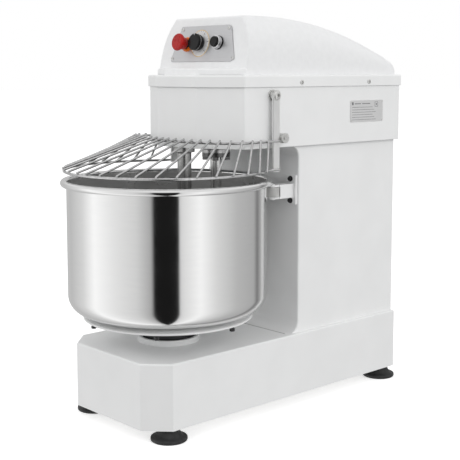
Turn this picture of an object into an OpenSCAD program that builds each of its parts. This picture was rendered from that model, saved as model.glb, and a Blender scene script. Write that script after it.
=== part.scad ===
// Spiral dough mixer with a turning bowl: a sheet-metal base and column, a head with a moulded cover,
// a stainless bowl on a driven dish, a spiral hook, a breaker bar and a hinged wire guard.
// Millimetres. +Z is up, the bowl is at the front (-Y), and the machine is symmetric about X = 0.
// Lengths along Y are measured from the base's front face, then moved so the origin is centred below.

/* [Base] */
// Width of the base housing
base_w = 335; // [332:1:338]
// Length of the base housing
base_l = 786; // [784:1:790]
// Height of the base's top face above the floor
base_top_z = 174; // [173:0.5:176]
// Length of the slanted front corners, measured along X and Y
base_corner = 50; // [40:1:55]
// Height of the rubber feet
foot_h = 28; // [26:0.5:29]

/* [Column] */
// Width of the column
column_w = 316; // [314:1:318]
// Distance from the base's front face to the column's front wall
column_front_y = 437; // [435:1:440]
// Radius of the bends where the front wall sweeps into the base and the head
throat_r = 27; // [20:1:30]

/* [Head] */
// Width of the head's skirt
head_w = 335; // [333:1:337]
// Width of the head's flat front
head_front_w = 138; // [130:1:145]
// Distance from the base's front face to the head's flat front
head_front_y = 200; // [199:0.5:202]
// Distance from the base's front face to where the slanted front corners end
head_corner_y = 256; // [254:1:258]
// Height of the head's bottom edge
head_z = 615; // [614:0.5:617]
// Height of the cover's outer rim above the floor
rim_z = 751; // [749:1:753]
// Height of the cover's foot above the floor
cover_z = 777.5; // [776:0.5:779]
// Height of the cover's top above the floor
cover_top_z = 910; // [905:1:914]

/* [Bowl] */
// Outer radius of the bowl's wall
bowl_r = 226.5; // [225.5:0.1:227]
// Radius over the rolled rim
bowl_rim_r = 240; // [239:0.5:240]
// Distance from the base's front face to the bowl's axis
bowl_y = 173; // [172:0.5:174]
// Height of the middle of the rolled rim
bowl_rim_z = 539.5; // [538:0.5:540]
// Height of the bowl's flat inner floor
bowl_floor_z = 247.5; // [247:0.5:248]
// Radius of the bend between the bowl's floor and wall
bowl_bend_r = 41; // [38:1:44]

/* [Spiral and breaker bar] */
// Distance from the base's front face to the spiral's axis
spiral_y = 320.6; // [319:0.2:321]
// Radius of the spiral's bar
hook_bar_r = 13; // [11:0.5:13]
// Radius of the spiral over its bar
hook_r = 68; // [62:1:68]
// Distance from the base's front face to the breaker bar's axis
breaker_y = 223.5; // [221:0.5:224]
// Radius of the breaker bar
breaker_r = 16; // [14:0.5:16]

/* [Guard] */
// Radius of the guard's outer ring, to the middle of its wire
guard_r = 231; // [230:0.5:232]
// Height of the outer ring
guard_outer_z = 567; // [566:0.5:570]
// Height of the inner ring
guard_inner_z = 631; // [630:0.5:632]
// Number of spokes on each side of the middle
guard_side_spokes = 12; // [8:1:12]
// Radius of the ring wire
ring_wire_r = 3; // [2.5:0.1:3]
// Radius of the spoke wire
spoke_wire_r = 2.5; // [2:0.1:2.5]

/* [Hidden] */
$fn = 96;
sheet = 2;
plate = 10;
running_gap = 0.05;

// Overall length, for the origin below the middle of the whole machine
gland_rear_y = base_l + 14;
mid_y = (bowl_y - bowl_rim_r + gland_rear_y) / 2;

// Head and cover outline
head_rear_y = base_l + 6.5;
skirt_top_z = cover_z - sheet;
rim_out = 4;
head_floor_z = head_z + plate;

// Pulleys: pitch radius of each, and the levels they run at
belt_w = 12;
belt_h = 8;
belt_pitch = 15;
belt_count = 2;
belt_gap = 0.3;
pulley_h = belt_count * belt_pitch + 3;
motor_pulley_r = 30;
counter_motor_r = 125;
counter_spiral_r = 68;
spiral_pulley_r = 72;
counter_low_r = 30;
lay_large_r = 90;
lay_small_r = 30;
bowl_pulley_r = 96;
motor_level = head_z + 25;
spiral_level = motor_level + 46;
lay_level = 92;
bowl_level = 42;

// Shaft positions along Y, and shaft radii
counter_y = 510;
lay_y = 353;
motor_y = 680;
bowl_shaft_r = 25;
spindle_r = 20;
counter_r = 15;
lay_r = 12;
motor_shaft_r = 12;

// Base interior
pan_z = foot_h;
pan_t = 3;
pan_top = pan_z + pan_t;
frame_top = base_top_z - 4;
frame_t = 12;
frame_under = frame_top - frame_t;
frame_half_w = 150;
web_t = 8;
foot_x = 138;
foot_front_y = 61.5;
foot_rear_y = 759.5;
bolt_r = 6;
small_bolt_r = 4;

// Bowl support
dish_r = 193;
dish_top = bowl_floor_z - sheet;
dish_t = 17;
hub_r = 58;
collar_r = 71;
collar_top = base_top_z + 13.5;
stud_circle_r = 178;
stud_count = 6;
stud_phase = 13;

// Spiral drive flange and hook
hook_flange_z = 587;
hook_flange_t = 10;
spindle_flange_t = 8;
drive_flange_r = 33;
hook_bolt_circle = 25;
hook_low_z = bowl_floor_z + hook_bar_r + 6;
hook_path_r = hook_r - hook_bar_r;

// Breaker bar's flange, and the circle of its bolts
breaker_flange_r = 24;
breaker_flange_t = 12;
breaker_bolt_circle = 17;

// Guide rollers that steady the bowl's wall
roller_r = 16;
roller_z0 = 499;
roller_h = 21.5;
roller_angle = 57;
roller_orbit = bowl_r + roller_r + 0.3;
roller_x = roller_orbit * cos(roller_angle);
roller_y = bowl_y + roller_orbit * sin(roller_angle);
roller_pin_r = 5;
lug_t = 5;

// Guard geometry
arm_t = 5;
arm_w = 20;
arm_inner_x = 177.5;
arm_y = 339.4;
pivot_z = 732.7;
pivot_r = 6;
arm_bottom_z = guard_outer_z - 5;
ring_x = arm_inner_x + arm_t + ring_wire_r;
ring_front_y = 170;
ring_corner_r = 70;
ring_front_arc = 20;
ring_front_r = ring_corner_r + (ring_x - ring_corner_r) / sin(ring_front_arc);
ring_side_y = ring_front_y + ring_front_r - (ring_front_r - ring_corner_r) * cos(ring_front_arc);
ring_end_y = arm_y + 7.5;
outer_end_angle = acos(ring_x / guard_r);
spoke_first = 10;
spoke_step = 24;
spoke_outer_first = 4;
spoke_outer_step = 10.4;
spoke_over_inner = 4;
spoke_over_outer = 2.5;
stop_y = 361.6;
stop_z = 637;
stop_r = 11.5;

// Control face: a flat face that leans back
face_slope = 0.193;
tilt = atan(face_slope);
face_mid_z = 849;
estop_x = -57;
estop_z = 848;
timer_x = -12.5;
timer_z = 850;
start_x = 51;
start_r = 12.2;
start_hole_r = 14;
start_z = 850.5;
panel_t = 1.5;
button_gap = 0.3;

// ---------- shared shapes ----------

// Everything is drawn from the base's front face and then centred
module centred() {
    translate([0, -mid_y, 0]) children();
}

module both_sides() {
    children();
    mirror([1, 0, 0]) children();
}

// A straight-sided piece between two heights
module prism(z0, z1) {
    translate([0, 0, z0]) linear_extrude(z1 - z0) children();
}

module box(x0, x1, y0, y1, z0, z1) {
    translate([x0, y0, z0]) cube([x1 - x0, y1 - y0, z1 - z0]);
}

// A round bar standing at a place along Y
module post(r, y, z0, z1, x = 0) {
    translate([x, y, z0]) cylinder(r = r, h = z1 - z0);
}

module ring(r_out, r_in, y, z0, z1, x = 0) {
    difference() {
        post(r_out, y, z0, z1, x);
        post(r_in, y, z0 - 1, z1 + 1, x);
    }
}

// A hexagon nut or bolt head
module hexagon(r, y, z0, z1, x = 0) {
    translate([x, y, z0]) cylinder(r = r, h = z1 - z0, $fn = 6);
}

// A round bar along X
module cross_bar(r, x0, x1, y, z) {
    translate([x0, y, z]) rotate([0, 90, 0]) cylinder(r = r, h = x1 - x0);
}

// Outline with slanted front corners, inset evenly by t
function slanted_plan(half_w, y0, y1, cx, cy, t) =
    let (
        slant = norm([cx, cy]),
        front_x = half_w - cx - t * (slant - cx) / cy,
        side_y = y0 + cy + t * (slant - cy) / cx,
        side_x = half_w - t
    )
    [
        [-front_x, y0 + t], [front_x, y0 + t], [side_x, side_y],
        [side_x, y1 - t], [-side_x, y1 - t], [-side_x, side_y]
    ];

module base_plan(t = 0) {
    polygon(slanted_plan(base_w / 2, 0, base_l, base_corner, base_corner, t));
}

module head_plan(t = 0) {
    slant_x = (head_w - head_front_w) / 2;
    slant_y = head_corner_y - head_front_y;
    polygon(slanted_plan(head_w / 2, head_front_y, head_rear_y, slant_x, slant_y, t));
}

module foot_places() {
    for (y = [foot_front_y, foot_rear_y]) both_sides() translate([foot_x, y, 0]) children();
}

// Four places on a circle around a vertical axis
module four_around(y, r, phase = 45) {
    for (i = [0:3]) {
        a = phase + 90 * i;
        translate([r * cos(a), y + r * sin(a), 0]) children();
    }
}

// Solid through rings of points that all have the same count
module loft(rings) {
    n = len(rings[0]);
    m = len(rings);
    points = [for (r = rings) each r];
    sides = [
        for (i = [0:m - 2], j = [0:n - 1])
            [i * n + j, i * n + (j + 1) % n, (i + 1) * n + (j + 1) % n, (i + 1) * n + j]
    ];
    first_cap = [for (j = [n - 1:-1:0]) j];
    last_cap = [for (j = [0:n - 1]) (m - 1) * n + j];
    polyhedron(points, concat(sides, [first_cap, last_cap]), convexity = 6);
}

// Belt outline around two pulleys that stand along Y
module belt_line(ya, ra, yb, rb) {
    lean = asin((ra - rb) / (yb - ya));
    translate([0, ya]) circle(r = ra);
    translate([0, yb]) circle(r = rb);
    polygon([
        [ra * cos(lean), ya + ra * sin(lean)], [rb * cos(lean), yb + rb * sin(lean)],
        [-rb * cos(lean), yb + rb * sin(lean)], [-ra * cos(lean), ya + ra * sin(lean)]
    ]);
}

module belts(ya, ra, yb, rb, level) {
    for (i = [0:belt_count - 1]) {
        z0 = level + 3 + i * belt_pitch;
        prism(z0, z0 + belt_w) difference() {
            belt_line(ya, ra + belt_h / 2, yb, rb + belt_h / 2);
            belt_line(ya, ra - belt_h / 2, yb, rb - belt_h / 2);
        }
    }
}

// Grooved pulley on a shaft; a large one has a recessed web on both faces
module pulley(r, y, level) {
    rim = r + 3;
    recess = 9;
    difference() {
        post(rim, y, level, level + pulley_h);
        for (i = [0:belt_count - 1]) {
            z0 = level + 3 + i * belt_pitch - belt_gap;
            ring(rim + 1, r - belt_h / 2 - belt_gap, y, z0, z0 + belt_w + 2 * belt_gap);
        }
        if (r > 80) {
            ring(r - 16, 40, y, level - 1, level + recess);
            ring(r - 16, 40, y, level + pulley_h - recess, level + pulley_h + 1);
        }
    }
}

// ---------- base ----------

module base_housing() {
    color("whitesmoke") difference() {
        prism(pan_z, base_top_z) base_plan();
        prism(pan_z - 1, base_top_z - sheet) base_plan(sheet);
        post(collar_r - 7, bowl_y, base_top_z - 5, base_top_z + 1);
        opening_w = frame_half_w + 3;
        box(-opening_w, opening_w, column_front_y + 8, base_l - 8, base_top_z - 5, base_top_z + 1);
    }
}

module floor_pan() {
    color("silver") difference() {
        prism(pan_z, pan_top) base_plan(sheet);
        foot_places() translate([0, 0, pan_z - 1]) cylinder(r = bolt_r, h = pan_t + 2);
    }
}

module machine_feet() {
    color("black") foot_places() rotate_extrude() polygon([
        [bolt_r, foot_h], [21, foot_h], [29, 11], [40, 8], [40, 2], [38, 0],
        [12, 0], [12, 10], [bolt_r, 10]
    ]);
}

module foot_bolts() {
    color("silver") foot_places() {
        translate([0, 0, 2]) cylinder(r = 11, h = 8, $fn = 6);
        translate([0, 0, 9]) cylinder(r = bolt_r, h = pan_top + 5);
        translate([0, 0, pan_top]) cylinder(r = 11, h = 10, $fn = 6);
    }
}

// Welded channel that carries the bowl's bearing and the lower shafts
module base_frame() {
    color("dimgray") difference() {
        union() {
            box(-frame_half_w, frame_half_w, 60, 770, frame_under, frame_top);
            both_sides() box(frame_half_w - web_t, frame_half_w, 90, 735, pan_top, frame_under);
        }
        post(50, bowl_y, frame_under - 1, frame_top + 1);
        post(32, counter_y, frame_under - 1, frame_top + 1);
        four_around(bowl_y, 66) translate([0, 0, frame_under - 1]) cylinder(r = bolt_r, h = frame_t + 2);
    }
}

module bowl_collar() {
    color("white") ring(collar_r, collar_r - 7, bowl_y, base_top_z, collar_top);
}

// Flanged housing with two bearings, bolted up under the frame
module bowl_housing() {
    color("slategray") {
        difference() {
            union() {
                post(50, bowl_y, 86, frame_top);
                post(80, bowl_y, frame_under - 12, frame_under);
            }
            post(37, bowl_y, 80, frame_top + 1);
            four_around(bowl_y, 66) translate([0, 0, frame_under - 20]) cylinder(r = bolt_r, h = 30);
        }
        for (z = [88, frame_top - 20]) ring(37, bowl_shaft_r + running_gap, bowl_y, z, z + 18);
        four_around(bowl_y, 66) {
            translate([0, 0, frame_under - 20]) cylinder(r = 10, h = 8, $fn = 6);
            translate([0, 0, frame_under - 13]) cylinder(r = bolt_r, h = frame_t + 13);
        }
    }
}

// ---------- column ----------

// Side outline of the column, with the rounded throat corners at the front
module column_side() {
    difference() {
        translate([column_front_y - throat_r, base_top_z])
            square([base_l - sheet - column_front_y + throat_r, head_z - base_top_z]);
        translate([column_front_y - throat_r, base_top_z + throat_r]) circle(r = throat_r);
        translate([column_front_y - throat_r, head_z - throat_r]) circle(r = throat_r);
        translate([column_front_y - throat_r - 1, base_top_z + throat_r])
            square([throat_r + 1, head_z - base_top_z - 2 * throat_r]);
        translate([column_front_y - 2 * throat_r, base_top_z]) square([throat_r, head_z - base_top_z]);
    }
}

// Turns an outline in Y and Z into a piece between two places along X
module side_prism(x0, x1) {
    translate([x0, 0, 0]) rotate([90, 0, 90]) linear_extrude(x1 - x0) children();
}

module column_shell() {
    half = column_w / 2;
    rear = base_l - sheet;
    color("whitesmoke") {
        both_sides() {
            side_prism(half - sheet, half) column_side();
            box(half - 20, half - sheet, rear - sheet, rear, base_top_z, head_z);
        }
        box(20 - half, half - 20, rear - sheet, rear, base_top_z, base_top_z + 18);
        box(20 - half, half - 20, rear - sheet, rear, head_z - 18, head_z);
    }
}

// One sheet bent forward into the base's top and the head's underside
module column_front_sheet() {
    half = column_w / 2 - sheet;
    lip = 12;
    front = column_front_y - throat_r;
    color("whitesmoke") side_prism(-half, half) {
        difference() {
            intersection() {
                column_side();
                translate([front, base_top_z]) square([throat_r + sheet, head_z - base_top_z]);
            }
            translate([front, base_top_z + throat_r]) difference() {
                translate([0, -throat_r - sheet]) square([throat_r + sheet, throat_r + sheet]);
                circle(r = throat_r + sheet);
            }
            translate([front, head_z - throat_r]) difference() {
                square([throat_r + sheet, throat_r + sheet]);
                circle(r = throat_r + sheet);
            }
        }
    }
    color("whitesmoke") box(-half, half, front - lip, front, base_top_z, base_top_z + 1);
}

// Two thick side plates and the cross plate that carries the electrical box
module column_frame() {
    color("dimgray") {
        both_sides() box(frame_half_w - 7, frame_half_w + 1, 470, 770, frame_top, head_z);
        box(7 - frame_half_w, frame_half_w - 7, 688, 694, 190, 340);
    }
}

module rear_panel() {
    half = column_w / 2 - 4;
    color("whitesmoke") difference() {
        box(-half, half, base_l - sheet, base_l, base_top_z + 4, head_z - 4);
        translate([90, base_l - 5, 215]) rotate([-90, 0, 0]) cylinder(r = 10, h = 10);
        for (z = [300:14:468]) box(-60, 60, base_l - 5, base_l + 1, z, z + 5);
        rear_screw_places() cylinder(r = 2.5, h = 10);
    }
}

module rear_screw_places() {
    for (z = [base_top_z + 12, head_z - 12], x = [-140, 0, 140])
        translate([x, base_l - 5, z]) rotate([-90, 0, 0]) children();
}

module rear_panel_screws() {
    color("silver") rear_screw_places() {
        translate([0, 0, 5]) cylinder(r = 5, h = 2.5);
        translate([0, 0, 3]) cylinder(r = 2.5, h = 3);
    }
}

// Cable inlet: a screwed gland with a clear bore and a nut behind the panel
module cable_gland() {
    color("black") translate([90, base_l, 215]) rotate([-90, 0, 0]) difference() {
        union() {
            translate([0, 0, -sheet - 12]) cylinder(r = 9.9, h = sheet + 12);
            cylinder(r = 14, h = 6, $fn = 6);
            translate([0, 0, 5]) cylinder(r = 11, h = 5);
            translate([0, 0, 10]) cylinder(r1 = 11, r2 = 8, h = gland_rear_y - base_l - 10);
            translate([0, 0, -sheet - 8]) cylinder(r = 14, h = 6, $fn = 6);
        }
        translate([0, 0, -20]) cylinder(r = 5, h = 60);
    }
}

module electrical_box() {
    color("lightgray") difference() {
        box(-70, 70, 694, 758, 200, 330);
        box(-67, 67, 697, 759, 203, 327);
    }
}

module electrical_box_lid() {
    color("gray") box(-70, 70, 758, 761, 200, 330);
}

module contactors() {
    color("ivory") for (x = [-58, -10, 28]) {
        box(x, x + 30, 697, 735, 235, 300);
        box(x + 4, x + 26, 735, 742, 245, 290);
    }
}

// ---------- head ----------

module head_skirt() {
    color("whitesmoke") difference() {
        prism(head_z, skirt_top_z) head_plan();
        prism(head_z - 1, skirt_top_z + 1) head_plan(sheet);
        both_sides() cross_bar(10, head_w / 2 - 5, head_w / 2 + 5, arm_y, pivot_z);
        both_sides() cross_bar(small_bolt_r, head_w / 2 - 5, head_w / 2 + 5, stop_y, stop_z);
    }
}

module head_floor_plate() {
    color("dimgray") difference() {
        prism(head_z, head_floor_z) head_plan(sheet);
        post(45, spiral_y, head_z - 1, head_floor_z + 1);
        post(36, counter_y, head_z - 1, head_floor_z + 1);
        post(24, motor_y, head_z - 1, head_floor_z + 1);
        four_around(breaker_y, breaker_bolt_circle) translate([0, 0, head_z - 1])
            cylinder(r = small_bolt_r, h = plate + 2);
        motor_bolt_places() translate([0, 0, head_z - 1]) cylinder(r = bolt_r, h = plate + 2);
    }
}

// Folded rim that closes over the skirt: an outer lip and a flat shelf
module cover_rim() {
    color("white") difference() {
        prism(rim_z, cover_z) head_plan(-rim_out);
        prism(rim_z - 1, skirt_top_z) head_plan(-rim_out + sheet);
        prism(rim_z - 1, cover_z + 1) head_plan(16);
        cover_screw_places() translate([0, 0, -5]) cylinder(r = 3, h = 10);
    }
}

module cover_screw_places() {
    for (y = [431, 667]) both_sides()
        translate([head_w / 2 + rim_out, y, rim_z + 10]) rotate([0, 90, 0]) children();
}

module cover_screws() {
    color("silver") cover_screw_places() {
        translate([0, 0, -3.8]) cylinder(r = 3, h = 4);
        cylinder(r = 5.5, h = 2.5);
    }
}

function face_y(z) = 275 + face_slope * (z - 800);

// Half the cover's width at a fraction of its height, and its top line along Y
function cover_half_w(t) = 155 - 37 * pow(t, 3.2);
function cover_ridge(y) = cover_top_z - 85.4 * pow(max(y - 340, 0) / 432, 2.07);

// One section of the cover, inset evenly
function cover_section(s, inset) =
    let (
        steps = 14,
        front = face_y(cover_top_z),
        ridge = cover_ridge(front + s * (772 - front)) - inset,
        foot = cover_z - (inset > 0 ? 1 : 0),
        side = [for (i = [0:steps]) sin(90 * i / steps)]
    )
    [
        for (side_x = [1, -1], i = [0:steps])
            let (
                t = side_x > 0 ? side[i] : side[steps - i],
                z = foot + t * (ridge - foot),
                y0 = face_y(cover_z + t * (cover_top_z - cover_z)) + inset,
                y1 = 790 - 19 * pow(t, 2.5) - inset
            )
            [side_x * (cover_half_w(t) - inset), y0 + s * (y1 - y0), z]
    ];

module cover_form(inset) {
    stations = 24;
    loft([for (i = [0:stations]) cover_section(i / stations, inset)]);
}

// Low front part of the cover that follows the head's slanted corners
module cover_step(inset, z0, z1) {
    prism(z0, z1) polygon(slanted_plan(155, 214.5, 330, 98, 55.5, inset));
}

module top_cover() {
    wall = 3;
    step_z = cover_z + 16;
    color("white") difference() {
        union() {
            cover_form(0);
            cover_step(0, cover_z, step_z);
        }
        cover_form(wall);
        cover_step(wall, cover_z - 1, step_z - wall);
        on_panel(estop_x, estop_z) translate([0, 0, -20]) cylinder(r = 12, h = 40);
        on_panel(timer_x, timer_z) translate([0, 0, -20]) cylinder(r = 7, h = 40);
        on_panel(start_x, start_z) translate([0, 0, -20]) cylinder(r = start_hole_r, h = 40);
    }
}

// ---------- controls ----------

// Local +Z points out of the control face
module on_panel(x, z) {
    translate([x, face_y(z), z]) rotate([90 - tilt, 0, 0]) children();
}

module panel_screw_places() {
    half = 42;
    on_panel(0, face_mid_z) both_sides() {
        translate([106, 8 - half, 0]) children();
        translate([80, half - 8, 0]) children();
    }
}

module control_plate() {
    half = 42;
    color("darkgray") difference() {
        on_panel(0, face_mid_z) linear_extrude(panel_t)
            polygon([[-113, -half], [113, -half], [86, half], [-86, half]]);
        on_panel(estop_x, estop_z) translate([0, 0, -1]) cylinder(r = 12, h = 5);
        on_panel(timer_x, timer_z) translate([0, 0, -1]) cylinder(r = 7, h = 5);
        on_panel(start_x, start_z) translate([0, 0, -1]) cylinder(r = start_hole_r, h = 5);
        panel_screw_places() translate([0, 0, -1]) cylinder(r = 2, h = 5);
    }
}

module control_plate_screws() {
    color("silver") panel_screw_places() {
        cylinder(r = 2, h = 2);
        translate([0, 0, panel_t]) cylinder(r = 4, h = 1.8);
    }
}

module estop_collar() {
    color("orange") on_panel(estop_x, estop_z) translate([0, 0, panel_t]) difference() {
        cylinder(r = 17, h = 5);
        translate([0, 0, -1]) cylinder(r = 11, h = 8);
    }
}

// Barrels and contact blocks behind the panel: emergency stop, timer and start button
module control_blocks() {
    color("dimgray") {
        on_panel(estop_x, estop_z) difference() {
            union() {
                translate([0, 0, -30]) cylinder(r = 11, h = 36);
                translate([-15, -21, -62]) cube([30, 42, 34]);
            }
            translate([0, 0, -32]) cylinder(r = 8 + running_gap, h = 50);
        }
        on_panel(timer_x, timer_z) difference() {
            union() {
                translate([0, 0, -18]) cylinder(r = 6, h = 20);
                translate([-22, -22, -52]) cube([44, 44, 34]);
            }
            translate([0, 0, -30]) cylinder(r = 3 + running_gap, h = 40);
        }
        on_panel(start_x, start_z) difference() {
            translate([-14, -20, -48]) cube([28, 40, 36]);
            translate([0, 0, -30]) cylinder(r = 5 + running_gap, h = 40);
        }
    }
}

module estop_stem() {
    color("gray") on_panel(estop_x, estop_z) {
        translate([0, 0, -20]) cylinder(r = 8, h = 32);
        translate([0, 0, 12]) cylinder(r = 6, h = 14);
    }
}

// Mushroom head with a tapered neck
module estop_head() {
    color("red") on_panel(estop_x, estop_z) difference() {
        union() {
            translate([0, 0, 12.1]) cylinder(r1 = 14, r2 = 16, h = 14);
            translate([0, 0, 26]) cylinder(r1 = 18, r2 = 20.2, h = 2.5);
            translate([0, 0, 28.5]) cylinder(r = 20.2, h = 4);
            translate([0, 0, 32.5]) cylinder(r1 = 20.2, r2 = 14, h = 3.5);
        }
        translate([0, 0, 10]) cylinder(r = 6 + running_gap, h = 16.2);
    }
}

// Knob with a tapered skirt and a pointer rib, and its shaft
module timer_knob() {
    color("black") on_panel(timer_x, timer_z) {
        translate([0, 0, -25]) cylinder(r = 3, h = 31);
        translate([0, 0, 3]) cylinder(r1 = 16.5, r2 = 19.5, h = 6);
        translate([0, 0, 9]) cylinder(r = 19.5, h = 12);
        translate([0, 0, 21]) cylinder(r1 = 19.5, r2 = 18, h = 1.5);
        translate([-1, 12, 21]) cube([2, 7, 2]);
    }
}

module start_bezel() {
    color("silver") on_panel(start_x, start_z) difference() {
        union() {
            translate([0, 0, -12]) cylinder(r = start_hole_r - 0.3, h = 15);
            translate([0, 0, panel_t]) cylinder(r = 16, h = 3);
            translate([0, 0, 4]) cylinder(r1 = 15, r2 = 14.2, h = 9);
        }
        translate([0, 0, -14]) cylinder(r = start_r + button_gap, h = 40);
    }
}

module start_button() {
    color("black") on_panel(start_x, start_z) {
        translate([0, 0, -7]) cylinder(r = start_r, h = 24);
        translate([0, 0, 17]) cylinder(r1 = start_r, r2 = start_r - 1.7, h = 1.5);
        translate([0, 0, -26]) cylinder(r = 5, h = 20);
    }
}

module rating_plate() {
    color("silver") box(head_w / 2, head_w / 2 + 0.8, 603, 725, 663, 716);
}

module rating_plate_rivets() {
    color("gray") for (y = [607, 721], z = [667, 712])
        cross_bar(1.8, head_w / 2 + 0.8, head_w / 2 + 1.8, y, z);
}

// ---------- drive ----------

module motor_bolt_places() {
    for (y = [600, 762]) both_sides() translate([95, y, 0]) children();
}

// Slotted mounting plate under the head's floor, with its bolts
module motor_plate() {
    color("dimgray") {
        difference() {
            box(-112, 112, 586, 776, head_z - plate, head_z);
            post(24, motor_y, head_z - plate - 1, head_z + 1);
        }
        motor_bolt_places() {
            translate([0, 0, head_z - plate - 8]) cylinder(r = 10, h = 8, $fn = 6);
            translate([0, 0, head_z - 1]) cylinder(r = bolt_r, h = plate + 14);
            translate([0, 0, head_floor_z]) cylinder(r = 10, h = 9, $fn = 6);
        }
    }
}

// Flange motor with cooling fins, a fan cowl and a terminal box
module motor_body() {
    top = head_z - plate;
    color("steelblue") difference() {
        union() {
            post(78, motor_y, 380, top - 8);
            post(88, motor_y, top - 10, top);
            post(82, motor_y, 345, 380);
            for (i = [0:23]) translate([0, motor_y, 392]) rotate([0, 0, 15 * i])
                translate([70, -1.5, 0]) cube([16, 3, 190]);
            box(-132, -70, motor_y - 32, motor_y + 32, 450, 540);
        }
        post(motor_shaft_r + running_gap, motor_y, 550, top + 1);
    }
}

module motor_rotor() {
    color("silver") {
        post(motor_shaft_r, motor_y, 552, motor_level + pulley_h + 2);
        pulley(motor_pulley_r, motor_y, motor_level);
    }
}

// Upright shaft that takes the motor's belts and drives both the spiral and the base
module countershaft() {
    color("silver") {
        post(counter_r, counter_y, pan_top + 5, spiral_level + pulley_h + 4);
        pulley(counter_motor_r, counter_y, motor_level);
        pulley(counter_spiral_r, counter_y, spiral_level);
        pulley(counter_low_r, counter_y, lay_level);
    }
}

// Short shaft in the base that slows the bowl's drive
module layshaft() {
    color("silver") {
        post(lay_r, lay_y, pan_top + 5, frame_under - 1);
        pulley(lay_large_r, lay_y, lay_level);
        pulley(lay_small_r, lay_y, bowl_level);
    }
}

module shaft_housings() {
    color("slategray") {
        difference() {
            union() {
                post(36, counter_y, 560, head_floor_z + 8);
                post(56, counter_y, head_floor_z, head_floor_z + 8);
            }
            post(26, counter_y, 555, head_floor_z + 10);
        }
        ring(32, 22, counter_y, pan_top, pan_top + 26);
        ring(28, 20, lay_y, pan_top, pan_top + 9);
        ring(32, 20, lay_y, frame_under - 24, frame_under);
    }
}

module shaft_bearings() {
    color("lightsteelblue") {
        for (z = [562, head_floor_z - 9]) ring(26, counter_r + running_gap, counter_y, z, z + 15);
        ring(22, counter_r + running_gap, counter_y, pan_top + 8, pan_top + 24);
        ring(20, lay_r + running_gap, lay_y, pan_top + 5.5, pan_top + 9);
        ring(20, lay_r + running_gap, lay_y, frame_under - 22, frame_under - 8);
    }
}

// Housing through the head's floor with two bearings and four bolts
module spindle_housing() {
    color("slategray") {
        difference() {
            union() {
                post(45, spiral_y, head_z - 8, spiral_level - 4);
                post(72, spiral_y, head_floor_z, head_floor_z + 11);
            }
            post(32, spiral_y, head_z - 10, spiral_level);
        }
        for (z = [head_z - 7, spiral_level - 22]) ring(32, spindle_r + running_gap, spiral_y, z, z + 17);
        four_around(spiral_y, 60) translate([0, 0, head_floor_z + 10]) cylinder(r = 9, h = 7, $fn = 6);
    }
}

module motor_belts() {
    color("black") belts(counter_y, counter_motor_r, motor_y, motor_pulley_r, motor_level);
}

module spiral_belts() {
    color("black") belts(spiral_y, spiral_pulley_r, counter_y, counter_spiral_r, spiral_level);
}

module base_belts() {
    color("black") {
        belts(lay_y, lay_large_r, counter_y, counter_low_r, lay_level);
        belts(bowl_y, bowl_pulley_r, lay_y, lay_small_r, bowl_level);
    }
}

// ---------- bowl ----------

// Pressed stainless bowl with a rolled rim
module bowl_shell() {
    wall_in = bowl_r - sheet;
    bend_x = bowl_r - bowl_bend_r;
    bend_z = bowl_floor_z - sheet + bowl_bend_r;
    curl_r = (bowl_rim_r - wall_in) / 2;
    curl_x = wall_in + curl_r;
    color("gainsboro") translate([0, bowl_y, 0]) rotate_extrude($fn = 180) {
        translate([0, bowl_floor_z - sheet]) square([bend_x, sheet]);
        translate([bend_x, bend_z]) intersection() {
            difference() {
                circle(r = bowl_bend_r);
                circle(r = bowl_bend_r - sheet);
            }
            translate([0, -bowl_bend_r]) square([bowl_bend_r, bowl_bend_r]);
        }
        translate([wall_in, bend_z]) square([sheet, bowl_rim_z - bend_z]);
        translate([curl_x, bowl_rim_z]) difference() {
            circle(r = curl_r);
            circle(r = curl_r - sheet);
            translate([-curl_r - 1, -curl_r - 1]) square([curl_r - 2, curl_r + 1]);
        }
    }
}

// Painted dish that the bowl sits on, sloping down to its edge
module bowl_dish() {
    low = dish_top - dish_t;
    color("white") translate([0, bowl_y, 0]) rotate_extrude() polygon([
        [bowl_shaft_r, low], [dish_r - 10, low], [dish_r, low + 3.5], [dish_r, low + 6],
        [dish_r - 3, low + 7.5], [150, dish_top], [bowl_shaft_r, dish_top]
    ]);
}

module dish_studs() {
    low = dish_top - dish_t;
    color("black") for (i = [0:stud_count - 1]) {
        a = stud_phase + i * 360 / stud_count;
        translate([stud_circle_r * cos(a), bowl_y + stud_circle_r * sin(a), 0]) {
            translate([0, 0, low - 4]) cylinder(r = 4, h = 4);
            translate([0, 0, low - 10]) cylinder(r = 6, h = 6, $fn = 6);
        }
    }
}

// Bowl shaft with its black hub and the driven pulley
module bowl_spindle() {
    color("dimgray") {
        post(bowl_shaft_r, bowl_y, bowl_level - 2, dish_top);
        post(hub_r, bowl_y, base_top_z + 2, dish_top - dish_t);
        pulley(bowl_pulley_r, bowl_y, bowl_level);
    }
}

// ---------- spiral ----------

// Spindle with its drive flange below and its pulley above
module spindle() {
    low = hook_flange_z + hook_flange_t;
    color("silver") {
        post(spindle_r, spiral_y, low, spiral_level + pulley_h + 3);
        difference() {
            post(drive_flange_r, spiral_y, low, low + spindle_flange_t);
            four_around(spiral_y, hook_bolt_circle) translate([0, 0, low - 1])
                cylinder(r = small_bolt_r, h = 20);
        }
        pulley(spiral_pulley_r, spiral_y, spiral_level);
    }
}

function ease(t) = t * t * (3 - 2 * t);
function share(s, a, b) = min(max((s - a) / (b - a), 0), 1);

// Centre line of the hook: straight down, swung out, around, and drawn in at the foot
function hook_turn(s) = 560 * pow(share(s, 0.2, 1), 1.15);
function hook_reach(s) = hook_path_r * ease(share(s, 0.2, 0.42)) - 20 * ease(share(s, 0.76, 1));
function hook_height(s) = hook_flange_z - (hook_flange_z - hook_low_z) * (1.25 * s - 0.25 * pow(s, 5));
function hook_point(s) =
    let (a = hook_turn(s), r = hook_reach(s))
    [r * cos(a), r * sin(a), hook_height(s)];

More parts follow.
